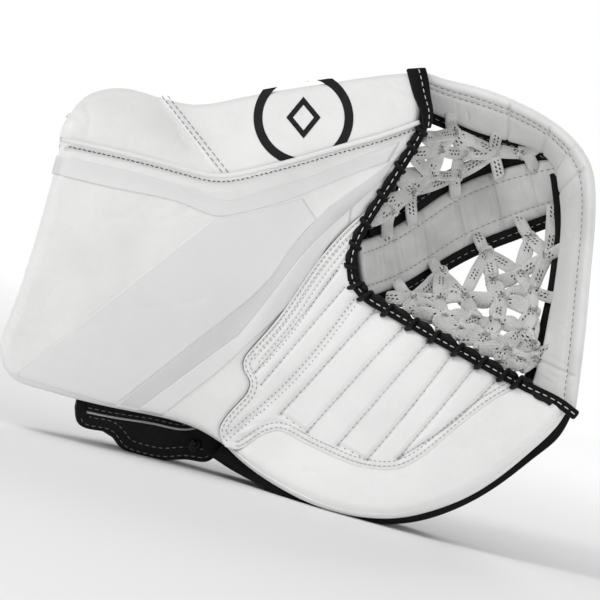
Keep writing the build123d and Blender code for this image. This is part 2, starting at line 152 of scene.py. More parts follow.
def gap_to(points, line):
    """Distance from each point to a polyline."""
    points, line = np.asarray(points, float), np.asarray(line, float)
    best = np.full(points.shape[:-1], 1e9)
    for a, b in zip(line[:-1], line[1:]):
        d = b - a
        t = np.clip(((points - a) @ d) / max(d @ d, 1e-9), 0, 1)
        best = np.minimum(best, np.linalg.norm(points - a - t[..., None] * d, axis=-1))
    return best


def bell(distance, wide):
    return np.exp(-(distance / wide) ** 2)


def rounded(share):
    """Height of a quarter round, from 0 at its edge to 1."""
    return np.sqrt(np.clip(1 - (1 - np.clip(share, 0, 1)) ** 2, 0, 1))


def finish_of(nodes):
    if nodes:
        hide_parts(*nodes)


def soft(piece, slot, *nodes, fill=None):
    """A piece with its transform applied that stands for these CAD nodes. fill is not used."""
    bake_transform(piece)
    finish_of(nodes)


def rigid(piece, body, slot, *nodes, fill=None):
    """A piece that moves with one body and stands for these CAD nodes. fill is not used."""
    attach(piece, body)
    finish_of(nodes)


# ---------------------------------------------------------------- materials
class Field:
    """A node's output, for use in sums."""

    def __init__(self, tree, socket):
        self.tree, self.socket = tree, socket

    def op(self, kind, other=None):
        made = self.tree.nodes.new("ShaderNodeMath")
        made.operation = kind
        for slot, value in zip(made.inputs, (self, other)):
            if value is not None:
                put(slot, value)
        return Field(self.tree, made.outputs[0])

    def __add__(self, other):
        return self.op("ADD", other)

    def __sub__(self, other):
        return self.op("SUBTRACT", other)

    def __mul__(self, other):
        return self.op("MULTIPLY", other)


def put(socket, value):
    if isinstance(value, Field):
        value.tree.links.new(value.socket, socket)
    else:
        socket.default_value = value


def settle(made, **values):
    """Sets or links a node's inputs, whose names have _ for a space, or sets its other settings."""
    for key, value in values.items():
        name = key.replace("_", " ")
        if name in made.inputs:
            put(made.inputs[name], value)
        else:
            setattr(made, key, value)


def node(tree, kind, output=0, **values):
    made = tree.nodes.new("ShaderNode" + kind)
    settle(made, **values)
    return Field(tree, made.outputs[output])


def texture(tree, kind, output="Fac", **values):
    """A texture fixed to the piece."""
    return node(tree, kind, output, Vector=node(tree, "TexCoord", "Object"), **values)


def new_material(name):
    mat = bpy.data.materials.new(name)
    mat.use_nodes = True
    return mat, mat.node_tree, mat.node_tree.nodes["Principled BSDF"]


def bumps(tree, *layers):
    """Bump from several heights: (height, strength, distance in metres)."""
    last = {}
    for height, strength, distance in layers:
        last = {"Normal": node(tree, "Bump", Strength=strength, Distance=distance, Height=height, **last)}
    return last["Normal"]


def ramp(factor, *stops):
    made = factor.tree.nodes.new("ShaderNodeValToRGB")
    put(made.inputs[0], factor)
    elements = made.color_ramp.elements
    for i, (at, colour) in enumerate(stops):
        if i < 2:
            elements[i].position = at
        else:
            elements.new(at)
        elements[i].color = (*colour, 1)
    return Field(factor.tree, made.outputs[0])


def leather(name, light, dark, rough=0.42, grain=1.0, grain_mm=1.1, crease=1.0, coat=0.0, shine=0.5):
    mat, tree, shader = new_material(name)
    pores = texture(tree, "TexVoronoi", "Distance", Scale=1000 / grain_mm, feature="DISTANCE_TO_EDGE")
    fine = texture(tree, "TexNoise", Scale=2200.0, Detail=3.0)
    broad = texture(tree, "TexNoise", Scale=55.0, Detail=5.0, Roughness=0.6)
    tone = texture(tree, "TexNoise", Scale=18.0, Detail=4.0, Roughness=0.55)
    settle(
        shader,
        Base_Color=ramp(tone, (0.32, dark), (0.62, light)),
        Roughness=node(tree, "MapRange", Value=broad, To_Min=rough - 0.07, To_Max=rough + 0.1),
        Normal=bumps(tree, (broad, 0.3 * crease, 0.0015), (pores, 0.55 * grain, 0.00035),
                     (fine, 0.25 * grain, 0.0001)),
        Specular_IOR_Level=shine, Coat_Weight=coat, Coat_Roughness=0.25,
    )
    return mat


def woven(name, light, dark, thread_mm=0.9, depth=0.0003, sheen=0.2, fuzz=0.3):
    """Cloth of crossed threads, from a regular grid of cells and a little fuzz."""
    mat, tree, shader = new_material(name)
    cells = texture(tree, "TexVoronoi", "Distance", Scale=1000 / thread_mm, Randomness=0.12,
                    distance="CHEBYCHEV")
    hairs = texture(tree, "TexNoise", Scale=1500.0, Detail=4.0)
    blotches = texture(tree, "TexNoise", Scale=35.0, Detail=4.0)
    settle(
        shader,
        Base_Color=ramp(cells + blotches * 0.5, (0.25, light), (0.95, dark)),
        Normal=bumps(tree, (blotches, 0.2, 0.0012), (hairs, fuzz, 0.0002), (cells * -1.0, 0.9, depth)),
        Roughness=0.75, Specular_IOR_Level=0.15, Sheen_Weight=sheen, Sheen_Roughness=0.4,
    )
    return mat


def lace_material(name, light, dark):
    """Flat plaited lace with rows of dark flecks: its UV map runs along it and across it in millimetres."""
    plait_turns, fleck_every, fleck_group, flecked_share = 2.9, 3.1, 23.0, 0.46
    fleck_half, row_half, row_off = 0.92, 0.7, 1.35
    mat, tree, shader = new_material(name)
    uv = node(tree, "UVMap", uv_map="mm")
    along, side = (node(tree, "SeparateXYZ", axis, Vector=uv) for axis in "XY")
    plait = ((along + side) * plait_turns).op("SINE") * ((along - side) * plait_turns).op("SINE")
    blotches = texture(tree, "TexNoise", Scale=70.0, Detail=4.0)
    run = (((along + side * 0.7) * (1 / fleck_every)).op("FRACT") - 0.5) * (fleck_every / fleck_half)
    cross = (side.op("ABSOLUTE") - row_off) * (1 / row_half)
    flecked = (along * (1 / fleck_group)).op("FRACT").op("LESS_THAN", flecked_share)
    mix = tree.nodes.new("ShaderNodeMix")
    mix.data_type = "RGBA"
    put(mix.inputs[0], flecked * (run * run + cross * cross).op("LESS_THAN", 1.0))
    # Painted shade: the ramp's dark end stands for the laces' shaded undersides and is spread by the random blotches,
    # and the plait term paints shade along the plait.
    put(mix.inputs[6], ramp(plait * 0.2 + blotches, (0.25, dark), (0.6, light)))
    put(mix.inputs[7], (0.01, 0.01, 0.012, 1))
    settle(
        shader,
        Base_Color=Field(tree, mix.outputs[2]),
        Normal=bumps(tree, (blotches, 0.2, 0.001), (plait, 0.9, 0.0004)),
        Roughness=0.7, Sheen_Weight=0.25,
    )
    return mat


def thread(name, *colour):
    mat, tree, shader = new_material(name)
    twist = texture(tree, "TexWave", Scale=900.0, Distortion=2.0)
    settle(shader, Base_Color=ramp(twist, (0.2, [c * 0.7 for c in colour]), (0.7, colour)),
           Normal=bumps(tree, (twist, 0.5, 0.0002)), Roughness=0.5)
    return mat


WHITE = leather("white_leather", (0.86, 0.86, 0.855), (0.79, 0.79, 0.785), rough=0.45, grain=1.5, grain_mm=1.4)
SMOOTH_WHITE = leather("palm_leather", (0.88, 0.88, 0.875), (0.82, 0.82, 0.815), rough=0.4, grain=0.9, crease=1.3)
# The web leather is the white leather made darker: painted shade of the deep pocket.
SHADED_WEB_WHITE = leather("web_leather", (0.80, 0.80, 0.795), (0.68, 0.68, 0.675), rough=0.5, crease=1.8)
# The stem leather is the white leather made darker still: painted shade of the stem deep in the pocket.
SHADED_STEM_WHITE = leather("stem_leather_painted_shade", (0.68, 0.68, 0.675), (0.46, 0.46, 0.455), rough=0.5, crease=2.0)
FILM = leather("clear_film", (0.80, 0.80, 0.80), (0.765, 0.765, 0.765), rough=0.3, grain=0.3, crease=0.5, coat=0.35)
FILM_MATT = leather("matt_film", (0.70, 0.70, 0.70), (0.66, 0.66, 0.66), rough=0.6, grain=1.2)
BLACK = leather("black_binding", (0.006, 0.006, 0.0065), (0.002, 0.002, 0.002), rough=0.55, grain_mm=0.8, shine=0.12)
BLACK_LACE = leather("black_lace", (0.007, 0.007, 0.007), (0.002, 0.002, 0.002), rough=0.45, grain=0.8,
                     grain_mm=0.7, shine=0.18)
NYLON = woven("black_nylon", (0.014, 0.014, 0.015), (0.003, 0.003, 0.0035), thread_mm=1.0, sheen=0.05)
LINING = woven("black_lining", (0.035, 0.035, 0.037), (0.012, 0.012, 0.013), thread_mm=0.6, fuzz=0.7, sheen=0.5)
WEBBING = woven("strap_webbing", (0.045, 0.045, 0.047), (0.012, 0.012, 0.013), thread_mm=1.3, depth=0.0005, fuzz=0.6)
GREY_EDGE = leather("grey_piping", (0.42, 0.42, 0.43), (0.3, 0.3, 0.31), rough=0.35, grain=0.4)
# The lace's dark colour is painted shade.
LACE = lace_material("white_lace", (0.84, 0.84, 0.83), (0.56, 0.56, 0.55))
INK = leather("badge_print", (0.006, 0.006, 0.0065), (0.003, 0.003, 0.0035), rough=0.5, shine=0.25)
THREAD = thread("grey_thread", 0.34, 0.34, 0.34)
THREAD_PALE = thread("pale_thread", 0.52, 0.52, 0.515)
THREAD_DARK = thread("dark_thread", 0.09, 0.09, 0.09)
THREAD_WHITE = thread("white_thread", 0.8, 0.8, 0.79)
THREAD_BACK = thread("slate_thread", 0.2, 0.2, 0.21)


# ---------------------------------------------------------------- mesh helpers
FLOOR_GAP = 0.0002


def make(name, verts, faces, mats, face_mats=None, uv=None, tidy=True):
    """A smooth-shaded mesh from face-frame points, kept off the floor."""
    mesh = bpy.data.meshes.new(name)
    spots = world(verts)
    spots[:, 2] = np.maximum(spots[:, 2], FLOOR_GAP)
    mesh.from_pydata(spots.tolist(), [], [tuple(int(i) for i in f) for f in faces])
    for mat in mats:
        mesh.materials.append(mat)
    if face_mats is not None:
        mesh.polygons.foreach_set("material_index", face_mats)
    if uv is not None:
        layer = mesh.uv_layers.new(name="mm")
        loops = np.zeros(len(mesh.loops), dtype=np.int32)
        mesh.loops.foreach_get("vertex_index", loops)
        layer.data.foreach_set("uv", uv[loops].ravel())
    if tidy:
        work = bmesh.new()
        work.from_mesh(mesh)
        bmesh.ops.remove_doubles(work, verts=work.verts, dist=2e-5)
        bmesh.ops.recalc_face_normals(work, faces=work.faces)
        work.to_mesh(mesh)
        work.free()
    mesh.polygons.foreach_set("use_smooth", [True] * len(mesh.polygons))
    piece = bpy.data.objects.new(name, mesh)
    bpy.context.scene.collection.objects.link(piece)
    return piece


def steps(n, start=0.0, end=0.0):
    """Parameters from 0 to 1, with extra rows inside the rolled share at either end."""
    q = 1 - np.cos(np.linspace(0, math.pi / 2, 7))
    parts = [start * q if start else [0.0], np.linspace(start, 1 - end, n), 1 - end * q if end else [1.0]]
    return np.unique(np.round(np.concatenate(parts), 6))


def coons(bottom, top, left, right, us, vs):
    """A grid of points between four lines."""
    b, t, l, r = resample(bottom, us), resample(top, us), resample(left, vs), resample(right, vs)
    u, v = us[:, None, None], vs[None, :, None]
    corners = (1 - u) * (1 - v) * b[0] + u * (1 - v) * b[-1] + (1 - u) * v * t[0] + u * v * t[-1]
    return (1 - v) * b[:, None] + v * t[:, None] + (1 - u) * l[None] + u * r[None] - corners


def ruled(near, far, us, vs):
    """A grid of points on straight lines from one line to another."""
    v = vs[None, :, None]
    return resample(near, us)[:, None] * (1 - v) + resample(far, us)[:, None] * v


def grid_normals(grid):
    """Unit normals that point away from the viewer."""
    normal = np.cross(np.gradient(grid, axis=0), np.gradient(grid, axis=1))
    normal[normal[..., 1] < 0] *= -1
    for _ in range(5):
        rim = np.pad(normal, ((1, 1), (1, 1), (0, 0)), mode="edge")
        normal = (normal * 2 + rim[2:, 1:-1] + rim[:-2, 1:-1] + rim[1:-1, 2:] + rim[1:-1, :-2]) / 6
    return unit(normal)


def side_gaps(grid):
    """Distance of every grid point from the u0, u1, v0 and v1 sides, along the grid lines."""
    u = np.pad(np.linalg.norm(np.diff(grid, axis=0), axis=-1), ((1, 0), (0, 0))).cumsum(0)
    v = np.pad(np.linalg.norm(np.diff(grid, axis=1), axis=-1), ((0, 0), (1, 0))).cumsum(1)
    return {"u0": u, "u1": u[-1:] - u, "v0": v, "v1": v[:, -1:] - v}


def cells(nu, nv):
    """The quads of a grid of points."""
    index = np.arange(nu * nv).reshape(nu, nv)
    return np.stack([index[:-1, :-1], index[1:, :-1], index[1:, 1:], index[:-1, 1:]], -1).reshape(-1, 4)


def shell(name, front, back, mats):
    """A closed piece between two grids of points. mats are front, back and wall, or one for all."""
    nu, nv = front.shape[:2]
    index, quads = np.arange(nu * nv).reshape(nu, nv), cells(nu, nv)
    ring = np.concatenate([index[:-1, 0], index[-1, :-1], index[:0:-1, -1], index[0, :0:-1]])
    ahead = np.roll(ring, -1)
    walls = np.stack([ring, ahead, ahead + nu * nv, ring + nu * nv], -1)
    faces = np.concatenate([quads, quads[:, ::-1] + nu * nv, walls])
    face_mats = [0] * len(quads) + [1] * len(quads) + [2] * len(walls) if len(mats) > 1 else None
    return make(name, np.concatenate([front.reshape(-1, 3), back.reshape(-1, 3)]), faces, mats, face_mats)


FRONTS = []


def pad(name, grid, thick, mats, rolled=(), relief=0.0, back_relief=0.0, facing=None):
    """A closed pad behind a sheet: rolled sides curl round to the back, the others end in a plain wall.

    rolled maps a side to its radius; relief is added towards the viewer, back_relief away from them.
    mats are front, back and wall. facing steadies the normals of a patch with sharp corners.
    """
    normal, gaps = grid_normals(grid), side_gaps(grid)
    if facing is not None:
        normal = unit(normal * 0.35 + facing)
    swell = np.ones(grid.shape[:2])
    for side in rolled:
        swell = swell * rounded(gaps[side] / rolled[side])
    middle, half = grid + normal * (thick / 2), normal * (thick / 2 * swell)[..., None]
    front = middle - half - normal * np.asarray(relief)[..., None]
    back = middle + half + normal * (back_relief * swell)[..., None]
    FRONTS.append(front)
    return shell(name, front, back, mats)


def tree_of(grids):
    verts, faces = [], []
    for grid in grids:
        faces += (cells(*grid.shape[:2]) + len(verts)).tolist()
        verts += grid.reshape(-1, 3).tolist()
    return BVHTree.FromPolygons(verts, faces)


def seen_at(tree, x, z):
    """Where the viewer's ray at X, Z first meets the tree, and the normal there."""
    return tree.ray_cast(Vector((x, -200.0, z)), Vector(TO_BACK))[:2]


def on_front(tree, line, lift):
    """A line in X, Z laid on whatever front is there, or on the catching face."""
    rows = on_face(line)
    for row in rows:
        hit = seen_at(tree, row[0], row[2])[0]
        row[1] = (hit[1] if hit else row[1]) - lift
    return rows


def frames(path, hint=None):
    """Tangent, side and out vectors along a path; out stays as near the hint as it can."""
    tangent = unit(np.gradient(path, axis=0))
    out = np.zeros_like(path)
    last = np.array([0.0, -1.0, 0.2])
    for i, t in enumerate(tangent):
        near = last if hint is None else (hint[i] if np.ndim(hint) > 1 else np.asarray(hint, float))
        last = out[i] = unit(near - (near @ t) * t)
    return tangent, np.cross(tangent, out), out


def sweep(path, section, hint=None, scale=None, twist=None, cap=True):
    """A closed section carried along a path. The section's x is to the side, its y outwards."""
    path, section = np.asarray(path, float), np.asarray(section, float)
    n, m = len(path), len(section)
    tangent, side, out = frames(path, hint)
    if twist is not None:
        c, s = np.cos(twist)[:, None], np.sin(twist)[:, None]
        side, out = side * c + out * s, out * c - side * s
    scale = np.ones((n, 2)) if scale is None else np.asarray(scale, float)
    if scale.ndim == 1:
        scale = np.stack([scale, scale], 1)
    rings = (path[:, None] + side[:, None] * (section[None, :, :1] * scale[:, None, :1])
             + out[:, None] * (section[None, :, 1:] * scale[:, None, 1:]))
    verts = rings.reshape(-1, 3)
    index = np.arange(n * m).reshape(n, m)
    ahead = np.roll(index, -1, axis=1)
    faces = np.stack([index[:-1], ahead[:-1], ahead[1:], index[1:]], -1).reshape(-1, 4).tolist()
    uv = np.stack([np.repeat(travel(path), m), np.tile(section[:, 0], n)], 1)
    for end, sign in ((0, -1), (n - 1, 1)) if cap else ():
        ring, start = index[end], len(verts)
        swollen = tangent[end] * sign * 0.35 * abs(section[:, 1]).max()
        inner = path[end] + (rings[end] - path[end]) * 0.6 + swollen
        verts = np.concatenate([verts, inner, inner.mean(0)[None]])
        uv = np.concatenate([uv, uv[ring], uv[ring[:1]]])
        for k in range(m):
            k2 = (k + 1) % m
            faces.append([ring[k], ring[k2], start + k2, start + k])
            faces.append([start + k, start + k2, start + m])
    return verts, faces, uv


def oval(width, height, n=16, square=2.0):
    """A closed section between an ellipse (2) and a box (large)."""
    t = np.linspace(0, 2 * math.pi, n, endpoint=False)
    return np.stack([np.sign(w) * np.abs(w) ** (2 / square) * size / 2
                     for w, size in ((np.cos(t), width), (np.sin(t), height))], 1)


class Heap:
    """Collects many small meshes into one piece."""

    def __init__(self):
        self.verts, self.faces, self.uv, self.count = [], [], [], 0

    def add(self, verts, faces, uv=None):
        self.verts.append(np.asarray(verts, float))
        self.faces.extend([[int(i) + self.count for i in f] for f in faces])
        self.uv.append(np.zeros((len(verts), 2)) if uv is None else uv)
        self.count += len(verts)

    def tube(self, path, section, start=0.0, **how):
        verts, faces, uv = sweep(path, section, **how)
        self.add(verts, faces, uv + (start, 0))

    def build(self, name, mat):
        return make(name, np.concatenate(self.verts), self.faces, [mat], uv=np.concatenate(self.uv), tidy=False)


def tube(name, mat, path, section, **how):
    heap = Heap()
    heap.tube(path, section, **how)
    return heap.build(name, mat)


def stitch(heap, line, long=2.6, gap=1.4, radius=0.38, hint=TO_VIEWER, wobble=0.0):
    """Short raised threads along a 3D line."""
    line, out = np.asarray(line, float), unit(hint)
    total = length(line)
    count = max(int(total / (long + gap)), 1)
    pitch = total / count
    for k in range(count):
        shares = np.array([-0.5, -0.36, 0.0, 0.36, 0.5])
        path = points_at(line, (k + 0.5) * pitch + shares * long * pitch / (long + gap))
        path = path + out * (np.array([-0.5, 0.45, 0.8, 0.45, -0.5]) * radius)[:, None]
        if wobble:
            lean = unit(np.cross(path[-1] - path[0], out)) * (wobble * (1 if k % 2 else -1))
            path = path + lean * np.array([-1, -0.6, 0, 0.6, 1])[:, None]
        heap.tube(path, oval(2 * radius, 2 * radius, 6), hint=out, scale=[0.35, 0.9, 1.0, 0.9, 0.35])


def offset_line(line, amount):
    """A line in X, Z moved sideways, positive to the left of its direction."""
    tangent = unit(np.gradient(line, axis=0))
    return line + np.stack([-tangent[:, 1], tangent[:, 0]], 1) * amount


def groove(points, line, depth, width):
    return depth * bell(gap_to(points, line), width)


def wrinkles(points, seed, count, deep, long, wide):
    """Short creases scattered over a patch, as a relief."""
    rng = random.Random(seed)
    flat = points.reshape(-1, points.shape[-1])
    total = np.zeros(points.shape[:-1])
    for _ in range(count):
        p = flat[rng.randrange(len(flat))]
        angle = rng.uniform(0, math.pi)
        d = np.array([math.cos(angle), math.sin(angle)]) * (rng.uniform(0.3, 1.0) * long / 2)
        bow = np.array([-d[1], d[0]]) * rng.uniform(-0.3, 0.3)
        total -= groove(points, smooth([p - d, p + bow, p + d], 8), deep * rng.uniform(0.4, 1.0), wide)
    return total


# ---------------------------------------------------------------- outlines, X and Z
cuff_foot = smooth([(-210, -50), (-204, -57), (-188, -64), (-158, -73), (-120, -82), (-92, -88), (-70, -96), (-54, -106)])
cuff_left = smooth([(-210, -50), (-213, -41), (-213, -31), (-207.5, -14), (-195, 21), (-184, 58), (-173, 100), (-170, 113)])
cuff_seam = smooth([(-170, 113), (-140, 106.5), (-108, 99), (-78, 91), (-62, 87.6), (-50, 87.8), (-30, 92), (0, 100),
                    (30, 109), (58, 117), (86, 127)])
lap = smooth([(-54, -106), (-58, -95), (-53, -84), (-43, -73), (-37, -65), (-36, -59), (-40, -51), (-41, -45),
              (-35, -35), (-13, -9), (8, 22), (25, 43), (38, 56), (50, 66)])
thumb_edge = smooth([(50, 66), (58, 77), (69, 92), (78, 108), (86, 127)])
crotch_edge = smooth([(50, 66), (43, 47), (37, 26), (38, 14), (46, 4), (61, -6), (94, -25), (130, -45), (160, -60)])
rim_seam = smooth([(-54, -106), (-45, -108), (-32, -101), (-15, -94.5), (0, -101), (19, -110), (39, -118), (55, -121),
                   (71, -120), (84, -114), (103, -99), (122, -83), (144, -68), (160, -60)], 240)
white_edge = smooth([(-55, -105), (-49, -111), (-36.4, -121.5), (-11.6, -136.5), (20.6, -150), (52.6, -155.5),
                     (71.2, -155), (96, -149.3), (120.8, -139.3), (145.6, -123.2), (167.9, -104.6), (185, -87),
                     (189.5, -80)], 240)
rim_end = smooth([(189.5, -80), (183, -74), (166, -64.5), (160, -60)], 20)
shell_edge = smooth([(-64, -112), (-50, -121), (-34, -129.5), (-11.6, -141.5), (12, -149.5), (36, -155.5),
                     (56, -158.5), (80, -157.5), (102, -151.5), (124, -141.5), (146, -127.5), (170, -109), (181, -100),
                     (187, -92), (191, -84)], 240)
seam_split = int(np.argmin(np.linalg.norm(rim_seam - (71, -120), axis=1)))

BACK_OF_FACE = 23.0
stitches, dark_stitches, white_stitches, back_stitches, finger_stitches, pale_stitches, holes = (
    Heap() for _ in range(7))

# ---------------------------------------------------------------- cuff and thumb front
cuff_xz = coons(cuff_foot, cuff_seam, cuff_left, np.concatenate([lap, thumb_edge[1:]]), steps(150, 0.045),
                steps(110, 0.05))
ripple = smooth([(52, 84), (28, 66), (2, 34), (-24, -6), (-44, -36)])
relief = 1.2 * bell(gap_to(cuff_xz, cuff_seam) - 9, 6)
for line, rise, width in ((cuff_seam, -2.4, 2.6), (lap, -0.7, 2.4), (thumb_edge, -1.5, 3.0), (ripple, 2.0, 6.5)):
    relief += groove(cuff_xz, line, rise, width)
relief += wrinkles(cuff_xz, 5, 14, 0.35, 30, 2.6)
soft(pad("cuff_pad", lay(cuff_xz), 22.0, [WHITE, LINING, WHITE], {"u0": 9.0, "v0": 10.0}, relief),
     "cuff_leather", "cuff_face", "cuff_foam", "cuff_board", "cuff_lining", fill=0.5)
cuff_tree = tree_of(FRONTS)


def film(name, bottom, top, mat, lift=0.45, n=(70, 14)):
    """A thin film laid on the face between two lines in X, Z."""
    xz = ruled(bottom, top, np.linspace(0, 1, n[0]), np.linspace(0, 1, n[1]))
    grid = on_front(cuff_tree, xz.reshape(-1, 2), lift).reshape(*n, 3)
    soft(pad(name, grid, 0.4, [mat] * 3), "cuff_leather")


def edge_line(straight, *curved):
    """A straight run, then a smooth curve from its end on."""
    rows = resample(straight, 60)
    if curved:
        rows = np.concatenate([rows, smooth([straight[-1], *curved], 60)[1:]])
    return resample(rows, 110)


film("cuff_film_band",
     smooth([(-176.5, 90), (-120, 77), (-78, 66.5), (-60, 60), (-48, 61), (0, 75), (36, 90), (64, 100)], 90),
     smooth([(-173, 103), (-120, 91), (-70, 76.5), (-52, 71), (-30, 77), (0, 86), (36, 100), (72, 114)], 90), FILM)
stripe_left = edge_line([(-132, -77), (-37, -1)], (-21, 15), (1, 46), (24, 69), (45, 84), (71, 104))
stripe_right = edge_line([(-118, -80), (-44, -25)], (-20, 5), (4, 35), (30, 60), (61, 88))
low_right = edge_line([(-100, -83.5), (-58, -51), (-22, -18)], (4, 12), (25, 45), (36, 56))
film("cuff_film_panel", edge_line([(-201, -55), (-133, -76), (-38, -1)], (-22, 15), (0, 46), (12, 58)),
     edge_line([(-201, -52), (-60, 60)], (-50, 59), (-24, 65), (2, 73)), FILM, n=(110, 40))
film("cuff_film_stripe", stripe_right, stripe_left, FILM_MATT, lift=0.4)
film("cuff_film_low", low_right, resample(stripe_right[:96], 110), FILM, lift=0.5)

# ---------------------------------------------------------------- palm
palm_xz = coons(rim_seam[:seam_split + 1], crotch_edge, lap, rim_seam[seam_split:], steps(150), steps(120))
CHANNELS = [
    [(54, -7), (20, -45), (-14, -82)],
    [(76, -17), (40, -56), (5, -95)],
    [(93, -28), (60, -66), (27, -104)],
    [(109, -38), (80, -76), (48, -114)],
    [(127, -45), (100, -78), (70, -113)],
    [(144, -53), (108, -88), (70, -113)],
]
THUMB_CHANNELS = [[(32, 9), (2, -26), (-28, -61)], [(27, 21), (-2, -16), (-32, -52)]]
BREAK_SEAM = [(40, -1), (-6, -58), (-54, -100)]
BOXES = [[(-14, -82), (5, -95)], [(27, -104), (48, -114)]]
HEEL_CREASES = [
    [(-49, -99), (-40, -92), (-30, -88)], [(-50, -102), (-40, -98), (-27, -95)],
    [(-47, -96), (-42, -88), (-37, -82)], [(-46, -104), (-38, -103), (-28, -103)],
    [(-44, -93), (-34, -84), (-26, -80)], [(-42, -100), (-30, -99), (-22, -101)],
]
LAP_ROWS = (2.5, 6.5, 10.5, 15.0)
ribs = np.min([gap_to(palm_xz, smooth(line, 30)) for line in CHANNELS], axis=0)
pocket_gap = gap_to(palm_xz, crotch_edge)
relief = 1.6 + (0.6 + 2.2 * np.exp(-pocket_gap / 26)) * (np.clip(ribs / 7.5, 0, 1) ** 0.6 - 1)
relief -= 3.4 * np.exp(-(gap_to(palm_xz, crotch_edge[60:]) / 9.0) ** 1.4) + 1.2 * bell(pocket_gap, 3.0)
relief += wrinkles(palm_xz, 9, 30, 0.3, 18, 1.6)
for depth, width, lines in (
    (2.2, 1.7, [smooth(line, 30) for line in CHANNELS]),
    (1.1, 1.0, [smooth(line, 12) for line in HEEL_CREASES]),
    (1.5, 1.8, [smooth(line, 30) for line in THUMB_CHANNELS]),
    (2.8, 3.2, [smooth(BREAK_SEAM, 30)]),
    (1.6, 1.6, BOXES),
    (1.5, 3.4, [rim_seam]),
    (0.8, 1.3, [offset_line(lap[60:], -shift) for shift in LAP_ROWS]),
    (1.6, 2.2, [smooth([(-50, -104), (-36, -97), (-20, -88), (-8, -90)], 20)]),
):
    for line in lines:
        relief -= groove(palm_xz, line, depth, width)
soft(pad("palm_pad", lay(palm_xz), 21.0, [SMOOTH_WHITE, LINING, LINING], relief=relief),
     "palm_leather", "palm_face", "palm_foam", "palm_board", fill=0.4)

SEWING = []


def sew(heap, line_xz, lift=0.2, **how):
    """A row of stitches to be laid on the finished front."""
    SEWING.append((heap, line_xz, lift, how))


def pierce(line_xz, pitch=3.9, radius=0.62):
    """A row of dark dots, painted shadow in the needle holes, to be laid on the finished front."""
    SEWING.append((None, resample(line_xz, max(int(length(line_xz) / pitch), 2)), 0.1, radius))


for line in CHANNELS + THUMB_CHANNELS:
    pierce(smooth(line, 40))
    sew(white_stitches, smooth(line, 40), long=3.0, gap=0.9, radius=0.26)
for line in BOXES:
    pierce(resample(line, 8))
for shift in (-1.8, 1.8):
    pierce(offset_line(smooth(BREAK_SEAM, 60), shift), pitch=3.4)
for shift in (2.6, 6.0):
    sew(pale_stitches, offset_line(rim_seam[8:-4], shift), long=2.0, gap=1.5, radius=0.3)
    pierce(offset_line(rim_seam[8:-4], shift), pitch=3.5, radius=0.4)
for shift in LAP_ROWS:
    pierce(offset_line(lap[58:150], -shift), pitch=3.3, radius=0.5)
for shift in (1.8, 4.8):
    sew(pale_stitches, offset_line(lap[8:62], -shift), long=2.4, gap=1.4, radius=0.34)
    sew(pale_stitches, offset_line(lap[62:156], -shift - 0.4), long=2.0, gap=1.6, radius=0.28)

# ---------------------------------------------------------------- rim
rim_xz = coons(white_edge, rim_seam, [white_edge[0], rim_seam[0]], rim_end, steps(220), steps(30, 0.3))
gaps = side_gaps(lay(rim_xz))
inward = np.clip(gaps["v1"] / np.maximum(gaps["v1"][:, :1], 1), 0, 1)
relief = 3.2 * np.sin(inward * math.pi * 0.62)
relief -= groove(rim_xz, rim_seam, 0.2, 3.0) + groove(rim_xz, offset_line(white_edge, 3.2), 0.9, 0.8)
relief = relief * np.clip(gaps["u0"] / 12, 0, 1) + 0.25 + wrinkles(rim_xz, 21, 16, 0.4, 22, 2.2)
soft(pad("rim_roll", lay(rim_xz), 21.0, [SMOOTH_WHITE] * 3, {"v0": 11.0}, relief), "palm_leather", "rim_pad", fill=0.7)

# ---------------------------------------------------------------- side walls above the seam
SIDE_THICK = 17.0
side_top = [(-163, 30, 137), (-156, 39, 148), (-144, 46, 154.5), (-126, 51, 156), (-101, 54, 149)]
thumb_top = [(-101, 54, 149), (-86, 55.5, 144.5), (-72, 56.5, 143), (-43, 59, 148), (22, 65, 160), (65, 69, 166.5),
             (83, 70, 168)]
mid = int(np.argmin(np.linalg.norm(cuff_seam - (-56, 87.5), axis=1)))
us, vs = steps(70, 0.06), steps(50, 0.0, 0.16)
side_grid = coons(on_face(cuff_seam[:mid + 1] + (0, 1.0), 0.4), smooth(side_top, 80),
                  smooth([(-170, 7.4, 114), (-169, 15, 127), (-163, 30, 137)], 20),
                  [(-56, 19.6, 88.5), (-101, 54, 149)], us, vs)
relief = 4.5 * np.sin(vs * math.pi)[None, :] * np.sin(us * math.pi * 0.9 + 0.3)[:, None]
relief -= 2.0 * bell(side_gaps(side_grid)["v0"], 2.5)
relief += wrinkles(side_grid[..., [0, 2]], 31, 16, 0.4, 26, 2.0)
facing = unit(np.cross((116, 13, -24), (69, 48, 40)))
facing = facing * np.sign(facing[1])
soft(pad("cuff_side_wall", side_grid, SIDE_THICK, [WHITE, LINING, WHITE], {"u0": 8.0, "v1": 9.0}, relief, facing=facing),
     "side_leather", "cuff_side_panel", "cuff_side_foam", fill=0.7)

us, vs = steps(110, 0.0, 0.03), steps(50, 0.0, 0.16)
band_grid = coons(on_face(cuff_seam[mid - 3:] + (0, 1.0), 0.4), smooth(thumb_top, 120),
                  [(-60, 19.0, 89.2), (-105, 53, 150)],
                  smooth([(86, 45, 128), (90, 56, 148), (85, 69, 168)], 20), us, vs)
gaps = side_gaps(band_grid)
relief = 1.4 + 2.0 * np.sin(vs * math.pi) - 2.4 * bell(gaps["v0"], 2.5) - 1.3 * bell(gaps["u0"], 1.2)
relief += wrinkles(band_grid[..., [0, 2]], 33, 18, 0.35, 22, 1.8)
soft(pad("thumb_side_wall", band_grid, SIDE_THICK, [WHITE, LINING, WHITE], {"u1": 6.0, "v1": 9.0}, relief),
     "side_leather", "thumb_side_panel", "thumb_side_foam", fill=0.6)
band_tree = tree_of([band_grid - grid_normals(band_grid) * relief[..., None]])


